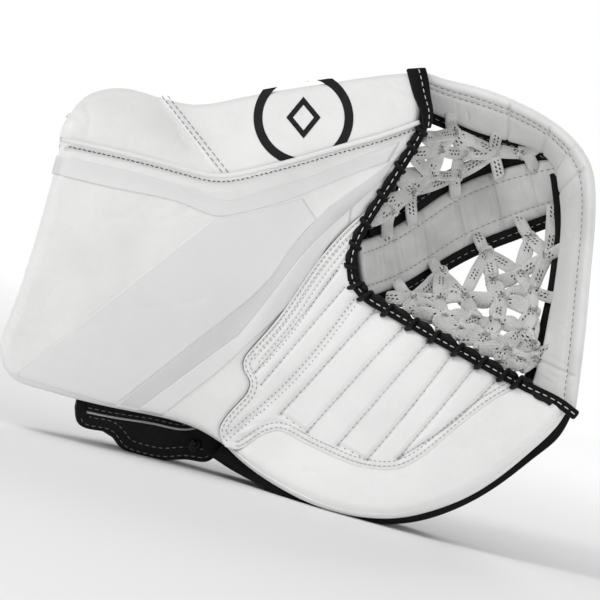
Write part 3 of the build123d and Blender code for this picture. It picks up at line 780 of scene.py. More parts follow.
def on_band(x, z, up):
    """The point of the thumb side's front at that X, Z, or just below it, lifted off it."""
    for drop in np.arange(0, 12, 0.25):
        hit, normal = seen_at(band_tree, x, z - drop)
        if hit:
            break
    out = np.array(normal)
    return np.array(hit) + (out if out[1] < 0 else -out) * up


for shift in (3.0, 6.5):
    base = resample([(-59 + shift * 1.25, 90.5), (-104 + shift * 1.2, 148)], 40)
    stitch(stitches, [on_band(x, z, 0.3) for x, z in base], long=3.6, gap=1.5, radius=0.34, hint=(0, -0.8, 0.6))

# Piping and the stitches beneath it.
welt_line = on_face(cuff_seam + (0, 1.2), 2.6)
soft(tube("seam_piping", WHITE, welt_line, oval(3.6, 3.2, 14), hint=(0, -1, 0.4)), "side_leather", "seam_welt")
sew(dark_stitches, cuff_seam[3:] + (0, -2.8), long=2.2, gap=1.3, radius=0.38, wobble=0.4)

# ---------------------------------------------------------------- round badge on the thumb side
BADGE_X, BADGE_Z, BADGE_R, BADGE_WIDE = 2.5, 131.5, 36.0, 6.4


def outline(radii, n, narrow=1.0, shape=lambda t: 1.0):
    """Rows of points across a closed band round the badge's middle."""
    return [[(BADGE_X + math.cos(t) * r * narrow, BADGE_Z + math.sin(t) * r) for r in radii / shape(t)]
            for t in np.linspace(0, 2 * math.pi, n)]


def decal(name, *bands):
    """Flat print on the thumb side, from rows of X, Z points joined into quads and cut at its edges."""
    heap = Heap()
    top_x, _, top_z = zip(*thumb_top)
    for rows in bands:
        verts = []
        for x, z in np.reshape(rows, (-1, 2)):
            low, high = np.interp(x, *cuff_seam.T) + 3.4, np.interp(x, top_x, top_z) + 1.5
            verts.append(on_band(x, float(np.clip(z, low, high)), 0.3))
        heap.add(verts, cells(*np.shape(rows)[:2]))
    return heap.build(name, INK)


ring = outline(np.linspace(BADGE_R - BADGE_WIDE, BADGE_R, 6), 181)
diamond = outline(np.linspace(9.5, 15.5, 5), 97, 0.8, lambda t: abs(math.cos(t)) + abs(math.sin(t)))
soft(decal("side_badge_print", ring, diamond), "badge_print", "side_badge")

# ---------------------------------------------------------------- T-web strips
POCKET = np.array([120.0, 30.0, 25.0])


def strip(name, near, far, thick, mat, n, puff=1.2, ribs=(), rows=(), creases=0, inner=None):
    """A padded strip between two 3D lines. ribs are shares of its length with a cross seam, rows are shares
    of its width with a row of stitches, and inner is a raised panel: its low and high share and its height."""
    us, vs = np.linspace(0, 1, n[0]), np.linspace(0, 1, n[1])
    grid = ruled(near, far, us, vs)
    run, wide = length(resample(near, us)), np.linalg.norm(grid[:, -1] - grid[:, 0], axis=1)[:, None]
    normal = unit(np.cross(np.gradient(grid, axis=0), np.gradient(grid, axis=1)))
    centre = len(us) // 2, len(vs) // 2
    if normal[centre] @ (POCKET - grid[centre]) < 0:
        normal = -normal
    edge = np.minimum(vs, 1 - vs)[None, :] * wide
    swell = rounded(edge / (thick * 0.6))
    high = thick / 2 * swell + puff * np.clip(edge / 8, 0, 1) * swell
    for at in ribs:
        high = high - (1.5 * bell((us - at) * run, 1.3))[:, None] * swell
    for at in rows:
        high = high - 0.9 * bell((vs - at)[None, :] * wide, 1.3) * swell
    rng = random.Random(len(name) + creases)
    for _ in range(creases):
        at, slant, deep = rng.uniform(0.03, 0.97), rng.uniform(-0.02, 0.02), rng.uniform(0.12, 0.5)
        reach = bell(vs - rng.uniform(0.3, 0.7), rng.uniform(0.12, 0.3)) * np.sin(vs * math.pi) ** 0.7
        high = high - deep * reach[None, :] * bell((us[:, None] - at - slant * vs[None, :]) * run, 1.0)
    if inner:
        low, up, puffed = inner
        share, ends = np.clip((vs - low) / (up - low), 0, 1), np.minimum(us, 1 - us)[:, None] * run
        high = high + (puffed * np.sin(share * math.pi) ** 0.5)[None, :] * np.clip(ends / 12, 0, 1) ** 0.5
    front, back = grid + normal * high[..., None], grid - normal * (thick / 2 * swell)[..., None]
    for at in (0.12, 0.88):
        j = int(round(at * (n[1] - 1)))
        stitch(stitches, (back - normal * 0.1)[2:-2, j], long=2.8, gap=1.7, radius=0.34, hint=-normal[n[0] // 2, j])
    for at in rows:
        j = int(round(at * (n[1] - 1)))
        stitch(stitches, front[:, j], long=2.8, gap=1.7, radius=0.36, hint=normal[n[0] // 2, j])
    return shell(name, front, back, [mat, WHITE, mat])


T_LIP = smooth([(88, 69, 167), (100, 69, 162), (130, 62, 153.5), (158, 54, 142), (185, 47, 125.5), (200, 42, 111),
                (208, 37, 96), (210.5, 33, 76), (209.5, 29, 50), (207, 25, 26), (203, 21, -20), (199, 18, -58),
                (196.5, 16, -79)], 400)
T_INNER = smooth([(97, 92, 138), (110, 95, 133), (124, 97, 127), (158, 95, 117), (180, 90, 108), (188, 87, 98),
                  (192, 84, 80), (193.5, 80, 58), (191, 76, 29), (187, 71, 4), (182, 64, -16), (177, 56, -35),
                  (170, 46, -53), (166.5, 40, -61)], 400)
STEM_UPPER = smooth([(41, 52, 42), (59, 72, 49), (87, 92, 66), (111, 102, 82), (145, 103, 96), (170, 94, 102),
                     (192, 88, 106)], 240)
STEM_LOWER = smooth([(46, 54, 1), (72, 78, 10), (101, 98, 27), (131, 107, 43), (162, 103, 55), (188, 91, 64),
                     (200, 84, 66)], 240)
corner = 158
soft(strip("t_top_pad", T_LIP[:corner + 1], T_INNER[:corner + 1], 6.5, SHADED_WEB_WHITE, (150, 34), rows=(0.16, 0.26),
           ribs=(0.55, 0.82), creases=24, inner=(0.3, 0.95, 1.2)), "web_leather", "t_top_bar")
soft(strip("t_side_pad", T_LIP[corner:], T_INNER[corner:], 6.5, SHADED_WEB_WHITE, (170, 34), rows=(0.2,),
           ribs=(0.1, 0.88), creases=26, inner=(0.3, 0.95, 2.4)), "web_leather", "t_side_bar")
soft(strip("stem_pad", STEM_UPPER, STEM_LOWER, 6.0, SHADED_STEM_WHITE, (260, 34), puff=2.2, rows=(0.2, 0.8),
           ribs=(0.2, 0.36, 0.53, 0.7, 0.86), creases=60), "web_leather", "t_stem")


def binding(name, line, toward, width, thick, *nodes, dash=True):
    """A folded edge strip that runs along a line and reaches `width` towards another line."""
    out = unit(toward)
    centre = line + out * (width / 2 - 0.6)
    normal = unit(np.cross(np.gradient(centre, axis=0), out))
    if (normal @ unit(POCKET - centre[len(centre) // 2])).mean() < 0:
        normal = -normal
    made = tube(name, BLACK, centre, oval(width, thick, 18, 3.4), hint=normal)
    if dash:
        stitch(stitches, centre + normal * (thick / 2), long=3.4, gap=2.4, radius=0.34, hint=normal[len(normal) // 2])
    soft(made, "edge_binding", *nodes)


t_start = smooth([(87, 58, 146), (91, 76, 141.5), (98, 91.5, 137.6)], 20)
stem_part = slice(18, 222)
binding("t_top_join", t_start, (-2, 0, -9), 9.0, 4.2, dash=False)
binding("t_top_edge", T_INNER[2:corner + 1], (-1, 1.5, -9), 9.0, 4.2, "t_top_binding")
binding("t_side_edge", T_INNER[corner:], (-9, 0.5, 0), 8.0, 4.2, "t_side_binding", dash=False)
for name, line, other, width in (("upper", STEM_UPPER, STEM_LOWER, 14.0), ("lower", STEM_LOWER, STEM_UPPER, 10.0)):
    binding(f"stem_{name}_edge", line[stem_part], (line - resample(other, len(line)))[stem_part], width, 4.0,
            f"stem_{name}_binding")

# ---------------------------------------------------------------- pocket edge bindings and whip laces
finger_edge = smooth([(38, 14), (46, 4), (61, -6), (94, -25), (130, -45), (166, -64), (184, -73), (196, -82)], 200)
thumb_bind = smooth([(38, 14), (37, 26), (43, 47), (55, 68), (69, 90), (80, 108), (89, 127), (90, 136)], 200)


def edge_binding(name, line_xz, node_name, ease):
    """A folded binding on a pocket edge. ease is the share of each point that lies on the rim's front."""
    line = on_face(line_xz, 0.8)
    laid = np.minimum(line[:, 1], on_front(tree_of(FRONTS), line_xz, 0.8)[:, 1] - 1.6)
    line[:, 1] = line[:, 1] * (1 - ease) + laid * ease
    made = tube(name, BLACK, line + (0, 1.6, 0), oval(7.4, 6.4, 20, 3.0), hint=TO_VIEWER)
    stitch(white_stitches, line - (0, 1.7, 0), long=3.6, gap=2.2, radius=0.4)
    soft(made, "edge_binding", node_name)


edge_binding("finger_edge_binding", finger_edge, "finger_binding", np.clip((finger_edge[:, 0] - 150) / 14, 0, 1))
edge_binding("thumb_edge_binding", thumb_bind[::-1], "thumb_binding", 0.0)


def whip(heap, line_xz, marks, radius=1.7, reach=4.0, bulge=3.9):
    """Black lace that goes over the binding at each mark and runs on along its pocket side."""

    def at(s, out, y):
        before, here, after = points_at(line_xz, np.array([s - 1, s, s + 1]))
        t = unit(after - before)
        return on_face([here + np.array([-t[1], t[0]]) * out], -y)[0]

    def run(places, section, sizes, shares, **how):
        heap.tube(smooth([at(*place) for place in places], 26), section,
                  scale=np.interp(np.linspace(0, 1, 26), shares, sizes), **how)

    for a, b in zip(marks, marks[1:] + [marks[-1] + 12]):
        run([(a - 1.0, -reach - 0.8, 2.6), (a - 0.8, -reach - 0.6, -0.6), (a - 0.4, -reach + 1.4, -3.0),
             (a + 0.2, -1.0, -4.2), (a + 1.0, 2.2, -3.6), (a + 2.2, 4.2, -1.0), (a + 3.4, 4.0, 2.2)],
            oval(2.6 * radius, 1.7 * radius, 12, 2.6), [0.8, 1.15, 1.0, 1.05, 0.8], [0, 0.15, 0.35, 0.8, 1])
        pitch = b - a
        run([(a + 1.4, bulge - 1.6, 0.8), (a + 0.25 * pitch, bulge - 0.4, -1.4), (a + 0.5 * pitch, bulge, -1.9),
             (a + 0.75 * pitch, bulge - 0.5, -1.0), (b - 0.6, bulge - 2.4, 1.8)],
            oval(2.1 * radius, 2.0 * radius, 12, 2.4), [0.6, 0.95, 1.25, 0.95, 0.6], [0, 0.2, 0.5, 0.8, 1],
            hint=TO_VIEWER)


finger_whip, thumb_whip = Heap(), Heap()
whip(finger_whip, finger_edge, [4, 14, 33, 53, 71, 90, 109, 127, 138])
tail = on_front(tree_of(FRONTS), smooth([(165.5, -64), (169, -68.5), (174, -70.5), (178.5, -73.5)], 14), 1.3)
finger_whip.tube(tail, oval(4.4, 2.2, 12, 2.6), hint=TO_VIEWER)
whip(thumb_whip, thumb_bind, [9, 25, 43, 66, 90, 107, 121], radius=1.4, reach=3.0, bulge=3.0)
soft(finger_whip.build("finger_edge_lace", BLACK_LACE), "black_lace", "finger_whip_lace")
soft(thumb_whip.build("thumb_edge_lace", BLACK_LACE), "black_lace", "thumb_whip_lace")

# The wide strap at the thumb's tip.
us, vs = steps(40), steps(16)
tip_left = smooth([(88, 41, 124), (87.5, 45, 134), (83, 54, 146), (79, 64, 160), (77, 70, 168)], 30)
tip_right = smooth([(95, 47, 124), (97, 53, 136), (95.5, 60, 148), (94, 66, 160), (92, 71, 169)], 30)
tip_rows = ruled(tip_left, tip_right, us, vs)
tip_rows[..., 1] -= 6.4 + 1.2 * np.sin(vs * math.pi)[None, :]
soft(pad("thumb_tip_strap", tip_rows, 3.0, [BLACK] * 3, {"v0": 1.6, "v1": 1.6}), "edge_binding")
stitch(white_stitches, tip_rows[:, len(vs) // 2 + 1] - (0, 0.2, 0), long=3.4, gap=2.2, radius=0.36)


# ---------------------------------------------------------------- laced webs
def net_depth(samples):
    """Depth of a net at X, Z, from sample points on its edges."""
    pts, ys = np.array(samples)[:, [0, 2]], np.array(samples)[:, 1]

    def at(x, z):
        w = 1 / (np.hypot(pts[:, 0] - x, pts[:, 1] - z) + 3.0)**2.2
        return float((ys * w).sum() / w.sum())

    return at


def ribbon(heap, route, width=9.0, thick=3.2, pinch=0.7, twist=0.0, n=22, start=0.0):
    """A flat lace that narrows at both ends; start shifts its flecks."""
    arch = np.sin(np.linspace(0, 1, n) * math.pi)
    scale = np.stack([pinch + (1 - pinch) * arch**0.6, 1.25 - 0.35 * arch], 1)
    heap.tube(smooth(route, n), oval(width, thick, 14, 2.6), start, hint=(0.1, -1, 0.15), scale=scale,
              twist=twist * arch)


def knot(heap, p, size, angle, start):
    """Two crossed turns of lace pulled tight."""
    ts = np.linspace(-2.5, 2.5, 18)
    for turn, (tilt, big) in enumerate(((0.5, 1.0), (-0.65, 0.86))):
        a = angle + turn * 1.25
        ex = np.array([math.cos(a), 0.15 * tilt, math.sin(a)])
        ey = unit([-0.25 * math.sin(a), -1.0, 0.25 * math.cos(a)])
        route = p + np.outer(np.sin(ts) * size * 0.72 * big, ex) + np.outer(-np.cos(ts) * size * 0.5 * big - 0.6, ey)
        route = route + np.outer(ts / 2.5 * size * 0.25, np.cross(ex, ey))
        heap.tube(route, oval(9.6, 3.4, 14, 2.4), start + 11 * turn, hint=route - p + 1e-3)


def net(heap, knots, links, depth, seed):
    """Knots at X, Z and the laces that link them. A knot whose name is a word is only a lace's end."""
    rng, low_part, packed_part = random.Random(seed), 16, 14
    where = {key: np.array([x, depth(x, z), z]) for key, (x, z) in knots.items()}
    for key, (x, z) in knots.items():
        if isinstance(key, int):
            knot(heap, where[key], (6.6 if z < low_part else 5.6) + rng.uniform(-0.4, 0.8), rng.uniform(0, 3.1),
                 rng.uniform(0, 40))
    for a, b in links:
        p, q = where[a], where[b]
        middle = (p + q) / 2 + (rng.uniform(-1.6, 1.6), rng.uniform(-3.4, 0.6), rng.uniform(-1.6, 1.6))
        ribbon(heap, [p, middle, q], width=rng.uniform(9.6, 11.8), twist=rng.uniform(-0.6, 0.6),
               start=rng.uniform(0, 60))
        if max(p[2], q[2]) < packed_part:
            side = unit(np.cross(q - p, TO_BACK)) * rng.choice([-3.2, 3.2])
            ribbon(heap, [p * 0.9 + q * 0.1, middle + side + (0, 2.2, 0), p * 0.1 + q * 0.9], width=8.0,
                   twist=rng.uniform(-0.8, 0.8), start=rng.uniform(0, 60))
    return where


def tie(heap, knot_at, edge_at, hole_at, back, start):
    """Lace from a knot over the front of an edge into its hole, and back behind the edge."""
    front, behind = edge_at + (0, -5.2, 0), edge_at + (0, back, 0)
    ribbon(heap, [knot_at, knot_at * 0.4 + front * 0.6, front, (front + hole_at) / 2 + (0, -2.6, 0),
                  hole_at + (0, -2.6, 0), hole_at + (0, 2.5, 0)], thick=4.2, pinch=0.82, n=30, start=start)
    ribbon(heap, [knot_at, (knot_at + behind) / 2, behind, hole_at + (0, back - 2, 0), hole_at + (0, back - 5, 0)],
           width=8.4, n=24, start=start + 17)


def laced(name, node_name, samples, knots, links, seed, *edges):
    """A net and its ties. An edge has a line, the tie's lift and room behind, the holes' offset and the ties:
    each a knot, the X, Z nearest its hole and where its flecks start."""
    heap = Heap()
    spots = net(heap, knots, links, net_depth(samples), seed)
    for line, share, lift, back, offset, ties in edges:
        for key, (x, z), start in ties:
            at = line[int(np.argmin((line[:, 0] - x) ** 2 + (line[:, 2] - z) ** 2))]
            edge = at * share + spots[key] * (1 - share) + (0, lift, 0)
            tie(heap, spots[key], edge, at + offset, back, start)
    soft(heap.build(name, LACE), "white_lace", node_name)


STEM_TIE, T_TIE = (0.55, -1.0, 5.0), (0.7, 0.0, 4.0)
laced(
    "lower_pocket_laces", "lower_pocket_lace",
    [*on_face(finger_edge[::14], -7.0), *STEM_LOWER[::24], *T_INNER[corner::26]],
    {0: (103, 20), 1: (137, 34), 2: (169, 45), 4: (81, 0), 5: (101, 0), 6: (119, 2), 7: (141, 13), 8: (160, 19),
     9: (181, 32), 10: (146, 1), 11: (169, 6), 12: (125, -14), 13: (142, -16), 14: (168, -9), 15: (104, -13),
     16: (115, -22), 17: (133, -27), 18: (148, -37), 19: (160, -23), 20: (166, -32), 21: (169, -43), 22: (158, -44),
     "e0": (63, 2), "e1": (82, -9), "e2": (98, -19), "e3": (114, -28), "e4": (128, -36), "e5": (144, -44),
     "e6": (158, -50)},
    [(4, 0), (0, 6), (0, 5), (1, 6), (1, 7), (1, 8), (2, 8), (2, 9), (8, 7), (8, 9), (7, 10), (6, 10), (8, 11),
     (9, 11), (11, 14), (10, 13), (10, 14), (11, 10), (5, 6), (4, 5), (5, 15), (4, 15), (6, 12), (12, 13), (12, 15),
     (15, 16), (12, 16), (13, 17), (16, 17), (13, 19), (14, 19), (17, 18), (19, 18), (19, 20), (14, 20), (20, 21),
     (18, 22), (21, 22), (20, 18), ("e0", 4), ("e0", 5), ("e1", 4), ("e1", 15), ("e2", 15), ("e2", 16), ("e3", 16),
     ("e3", 17), ("e4", 17), ("e4", 18), ("e5", 18), ("e5", 22), ("e6", 22), ("e6", 21)],
    3,
    (STEM_LOWER, *STEM_TIE, (-1.5, -1.5, 4.5),
     [(4, (69, 14), 3), (0, (94, 32), 9), (1, (129, 50), 14), (2, (160, 61), 30), (9, (186, 66), 41)]),
    (T_INNER, *T_TIE, (5.0, -9.0, 1.0), [(9, (197, 38), 5), (11, (192, -1), 21), (21, (182, -38), 38)]),
)
laced(
    "upper_pocket_laces", "upper_pocket_lace",
    [*on_face(thumb_bind[20::14], -8.0), *STEM_UPPER[::24], *T_INNER[:corner:26]],
    {0: (101, 110), 1: (119, 108), 2: (142, 109), 3: (95, 92), 4: (81, 79), 5: (115, 92), 6: (112, 122),
     7: (164, 108), 8: (66, 65), "t0": (90, 118), "t1": (81, 106), "t2": (71, 90), "t3": (60, 72), "t4": (50, 56)},
    [("t0", 0), ("t0", 6), ("t1", 0), ("t1", 3), ("t2", 3), ("t2", 4), ("t3", 4), ("t3", 8), ("t4", 8), (6, 0),
     (6, 1), (0, 1), (0, 3), (1, 2), (1, 5), (3, 5), (3, 4), (5, 2), (4, 5), (8, 4), (2, 7), (6, 2)],
    11,
    (STEM_UPPER, *STEM_TIE, (1.5, -2.0, -6.0),
     [(8, (62, 50), 4), (4, (82, 60), 16), (5, (114, 81), 27), (2, (146, 94), 39), (7, (171, 101), 52)]),
    (T_INNER, *T_TIE, (0.5, -7.0, 4.0), [(6, (110, 133), 8), (2, (145, 122), 19), (7, (175, 112), 31)]),
)

# ---------------------------------------------------------------- black back: wrist
flap_top = resample([(-150, -50), (-100, -30), (-66, -40)], 40)
flap_low = smooth([(-154, -81), (-130, -86), (-104, -90.5), (-80, -94), (-72, -92)], 60)
flap_xz = coons(flap_low, flap_top, [flap_low[0], flap_top[0]], [flap_low[-1], flap_top[-1]], steps(60), steps(24))
rigid(pad("wrist_flap_sheet", lay(flap_xz, BACK_OF_FACE + 0.4), 2.4, [NYLON] * 3, {"v0": 1.4}), "cuff", "shell_nylon",
      "wrist_flap")
flap_edge = np.concatenate([flap_low, smooth([(-72, -92), (-70, -85), (-68, -70)], 12)[1:]])
rigid(tube("wrist_flap_piping", GREY_EDGE, lay(flap_edge, BACK_OF_FACE + 1.0), oval(1.7, 1.7, 10), hint=TO_VIEWER),
      "cuff", "shell_nylon")

pad_low = smooth([(-162, -80), (-160, -90), (-149, -95), (-138, -98), (-131, -107), (-117, -114), (-98, -117.5),
                  (-81, -117), (-68, -118), (-60, -112)], 140)
pad_top = resample([(-148, -20), (-110, 5), (-62, -8), (-45, -60)], 80)
us, vs = steps(90, 0.02, 0.02), steps(50, 0.04)
wrist_xz = coons(pad_low, pad_top, [pad_low[0], pad_top[0]], [pad_low[-1], pad_top[-1]], us, vs)
relief = 1.6 * np.abs(np.sin(us * math.pi * 4))[:, None] * np.sin(np.clip(vs * 3, 0, 1) * math.pi / 2)[None, :]
rigid(pad("wrist_pad_cloth", lay(wrist_xz, BACK_OF_FACE + 3.4), 7.8, [NYLON, LINING, NYLON], {"v0": 3.6}, relief),
      "cuff", "shell_nylon", "wrist_pad", fill=0.5)
for shift in (3.4, 9.5):
    stitch(back_stitches, lay(offset_line(pad_low[6:-6], shift), BACK_OF_FACE + 2.2), long=3.0, gap=2.0, radius=0.36)
stitch(back_stitches, lay(flap_low + (0, 3.4), BACK_OF_FACE - 0.2), long=3.0, gap=2.0, radius=0.34)

knot_heap = Heap()
x, y, z = on_face([(-78, -107)])[0]
ts = np.linspace(0, 5.4, 22)
for dx, dz, a in ((0, 0, 0.3), (1.5, 2.0, 1.7)):
    route = np.stack([x + dx + np.cos(ts + a) * 2.6, y + BACK_OF_FACE - 1 + ts * 0.25,
                      z + dz + np.sin(ts + a) * 3.0], 1)
    knot_heap.tube(route, oval(3.4, 3.0, 10), hint=TO_VIEWER)
rigid(knot_heap.build("wrist_lace_knot", BLACK_LACE), "cuff", "black_lace", "wrist_knot")

# ---------------------------------------------------------------- black back: hand
HAND_DEPTH, HAND_THICK, FINGER_DEPTH, FINGER_THICK = 53.4, 12.0, 53.0, 9.0
ON_BACK = dict(long=3.0, gap=1.8, hint=TO_BACK)
hand_low = smooth([(-163, -70), (-158, -84), (-146, -94), (-130, -104), (-112, -111), (-94, -113), (-76, -112),
                   (-62, -113), (-50, -109)], 160)
hand_right = smooth([(-50, -109), (-18, -66), (20, -14), (56, 38), (70, 78), (83, 117)], 120)
hand_top = smooth([(-135, 30), (-100, 47), (-60, 70), (-8, 98), (40, 121), (83, 117)], 160)
hand_left = smooth([(-163, -70), (-156, -36), (-146, 0), (-135, 30)], 60)
hand_xz = coons(hand_low, hand_top, hand_left, hand_right, steps(150, 0.03, 0.03), steps(120, 0.03, 0.03))
HAND_SEAMS = [
    [(-150, -10), (-96, -34), (-40, -58), (-14, -72)],
    [(-128, 26), (-60, 10), (-4, -14), (22, -18)],
    [(-66, 62), (-20, 48), (30, 36), (54, 40)],
    [(-10, 94), (24, 80), (72, 82)],
]
relief = 2.2 - sum(groove(hand_xz, smooth(line, 40), 4.2, 4.5) for line in HAND_SEAMS)
rigid(pad("hand_back_shell", lay(hand_xz, HAND_DEPTH), HAND_THICK, [LINING, NYLON, NYLON],
          {"u0": 6.0, "u1": 6.0, "v0": 6.0, "v1": 6.0}, back_relief=relief), "cuff", "shell_nylon", "hand_back_pad",
      fill=0.6)
for line in HAND_SEAMS:
    for shift in (-3.6, 3.6):
        stitch(back_stitches, lay(offset_line(smooth(line, 60), shift), HAND_DEPTH + HAND_THICK + 1.0), radius=0.38,
               **ON_BACK)
hand_rim = np.concatenate([hand_low, hand_right[1:], hand_top[::-1][1:], hand_left[::-1][1:]])
rigid(tube("hand_back_piping", BLACK, lay(hand_rim, HAND_DEPTH + 6.0), oval(3.0, 3.0, 12), hint=TO_VIEWER), "cuff",
      "edge_binding")


def wall(name, line_xz, y0, y1, thick, n, waves, *nodes):
    """A soft wall that stands back from a line on the face, from one depth to another."""
    base, vs = on_face(line_xz), np.linspace(0, 1, n)
    side = (offset_line(line_xz, 1.0) - line_xz)[:, None]
    side = np.stack([side[..., 0], np.zeros_like(side[..., 0]), side[..., 1]], -1)
    fold = waves * np.sin(vs * math.pi * 3)[None, :] * (1 + 0.3 * np.sin(travel(line_xz) / 17))[:, None]
    grid = base[:, None] + side * fold[..., None]
    grid[..., 1] += (y0 + (y1 - y0) * vs)[None, :]
    soft(shell(name, grid - side * (thick / 2), grid + side * (thick / 2), [NYLON]), "shell_nylon", *nodes)


wall("hand_side_wall", smooth([(-60, 57), (-10, 82), (40, 107), (70, 102)], 80), BACK_OF_FACE + 0.5, 53.0, 4.0, 24,
     0.8, "hand_gusset")

# ---------------------------------------------------------------- black back: fingers
wall("finger_side_wall", shell_edge, 19.0, 53.6, 3.6, 30, 0.7, "finger_gusset")
gap = np.linalg.norm(shell_edge - white_edge, axis=1)
soft(tube("finger_wall_piping", BLACK, lay((white_edge + shell_edge) / 2, 13.5), oval(1.0, 5.0, 14, 3.0),
          hint=TO_VIEWER, scale=np.stack([gap + 3.0, np.ones(len(gap))], 1)), "edge_binding")

back_edge = offset_line(shell_edge, -0.8)
back_top = smooth([(40, 11), (50, 5), (64, -3), (96, -22), (130, -42), (166, -62), (197, -80)], 100)
third = int(0.6 * len(back_edge))
finger_xz = coons(back_edge[:third], back_top, [back_edge[0], (40, 11)], back_edge[third - 1:],
                  steps(150, 0.02, 0.03), steps(90, 0.04, 0.0))


def finger_line(*places):
    """A smooth line through places given outwards from the fold line's heel and along it."""
    return [HEEL + OUT * out + ALONG * along for out, along in places]


FINGER_SEAMS = [finger_line((6, at), (66, at + 2), (134, at - 6)) for at in (39, 65, 91, 117)]
FINGER_CREASES = [finger_line((out, -10), (out + 6, 80), (out, 160)) for out in (44, 84)]
relief = 1.8 - sum(groove(finger_xz, smooth(line, 40), 3.6, 4.0) for line in FINGER_SEAMS)
relief -= sum(groove(finger_xz, smooth(line, 40), 2.4, 3.6) for line in FINGER_CREASES)
soft(pad("finger_back_shell", lay(finger_xz, FINGER_DEPTH), FINGER_THICK, [LINING, NYLON, NYLON],
         {"u0": 4.5, "v0": 4.5, "u1": 4.5}, back_relief=relief), "shell_nylon", "finger_back", fill=0.6)
for line in FINGER_SEAMS:
    line = smooth(line, 60)
    keep = line[(gap_to(line, back_edge) > 8) & (line[:, 0] < 186)]
    for shift in (-3.2, 3.2):
        stitch(finger_stitches, lay(offset_line(keep, shift), FINGER_DEPTH + FINGER_THICK + 0.8), radius=0.36,
               **ON_BACK)


# ---------------------------------------------------------------- stalls
def stall(heap, mouth, x_dir, z_dir, wide, deep, long):
    """A cloth sleeve, open at its mouth and closed at its tip."""
    x_dir, z_dir = unit(x_dir), unit(z_dir)
    y_dir = np.cross(z_dir, x_dir)
    taper = np.r_[np.full(13, 1.0), 0.97, 0.9, 0.78, 0.6, 0.34][:, None, None]
    route = mouth + np.outer(np.linspace(0, 1, len(taper)) * long, z_dir)
    verts, faces, n, m = [], [], len(taper), 28
    for layer, scale in enumerate((1.0, 0.88)):
        section = oval(wide * scale, deep * scale, m, 4.0)[None]
        verts.append(route[:, None] + (x_dir * section[..., :1] + y_dir * section[..., 1:]) * taper)
        index = np.arange(n * m).reshape(n, m) + layer * n * m
        ahead = np.roll(index, -1, axis=1)
        turn = -1 if layer else 1
        faces += np.stack([index[:-1], ahead[:-1], ahead[1:], index[1:]], -1).reshape(-1, 4)[:, ::turn].tolist()
        faces.append(index[-1][::turn].tolist())
    faces += [[k, k + n * m, (k + 1) % m + n * m, (k + 1) % m] for k in range(m)]
    heap.add(np.concatenate(verts).reshape(-1, 3), faces)
    heap.tube(np.concatenate([verts[0][0], verts[0][0][:1]]), oval(2.2, 2.2, 8), hint=-z_dir, cap=False)


ALONG_3, ACROSS_3 = np.array([ALONG[0], 0, ALONG[1]]), np.array([-OUT[0], 0, -OUT[1]])


def by_fold(across, along, depth):
    """Points by how far across the fold line and along it they are, this far behind the catching face."""
    across, along = np.broadcast_arrays(across, along)
    points = np.array([HEEL[0], 0, HEEL[1]]) + ACROSS_3 * across[..., None] + ALONG_3 * along[..., None]
    points[..., 1] = VALLEY(across) + depth
    return points


finger_slope = (float(VALLEY(-120)) - float(VALLEY(-40))) / 80
sleeves = Heap()
for at, long in zip((52, 78, 104, 130), (32, 36, 38, 34)):
    mouth = by_fold(-34, at, BACK_OF_FACE + 13)
    stall(sleeves, mouth, ALONG_3, -ACROSS_3 + (0, finger_slope, 0), 23.6, 20.6, long)
soft(sleeves.build("finger_stall_sleeves", LINING), "lining_cloth", "finger_stalls")
sleeves = Heap()
stall(sleeves, by_fold(46, 92, BACK_OF_FACE + 15), ACROSS_3 * 30 + (0, float(VALLEY(61)) - float(VALLEY(31)), 0),
      ALONG_3, 29.6, 23.6, 96)
soft(sleeves.build("thumb_stall_sleeve", LINING), "lining_cloth", "thumb_stall")

# ---------------------------------------------------------------- straps on the hand back
STRAP_DEPTH = HAND_DEPTH + HAND_THICK + 2.0


def strap_piece(name, node_name, body, low, high, start, end, sewn):
    """A webbing strap and its stitching. A sewn end has a cross in its box, a tab has a rounded tip."""
    us, vs = steps(34, 0.06 if sewn else 0.0, 0.0 if sewn else 0.14), steps(22, 0.08, 0.08)
    tip = 0.0 if sewn else np.abs(2 * vs - 1) ** 3 * 5.0
    grid = by_fold((low + (high - low) * vs)[None, :], start + (end - tip - start) * us[:, None], STRAP_DEPTH)
    ribs = 0.25 * np.sin(us * 60)[:, None] * np.ones(len(vs))[None, :]
    rigid(pad(name, grid, 2.6, [WEBBING] * 3, {"v0": 1.2, "v1": 1.2, ("u0" if sewn else "u1"): 1.2}, back_relief=ribs),
          body, "strap_webbing", node_name)
    heap, a0, a1, l0, l1 = Heap(), low + 3.0, high - 3.0, start + 3.0, end - 6.0
    corners = [(a0, l0), (a1, l0), (a1, l1), (a0, l1), (a0, l0)]
    runs = list(zip(corners, corners[1:]))
    if sewn:
        runs += [(corners[0], corners[2]), (corners[1], corners[3])]
    for run in runs:
        a, l = np.linspace(*run, 12).T
        stitch(heap, by_fold(a, l, STRAP_DEPTH + 2.7), radius=0.36, hint=TO_BACK)
    rigid(heap.build(name + "_stitching", THREAD_BACK), body, "strap_webbing")


for name, low, high, start, end in (("wrist_strap", 66.0, 104.0, -26.0, 84.0), ("hand_strap", 18.0, 48.0, 6.0, 112.0)):
    strap_piece(name + "_sewn_end", name + "_anchor", "cuff", low, high, start, start + 20, True)
    strap_piece(name + "_tab", name, name, low, high, start + 23.5, end, False)

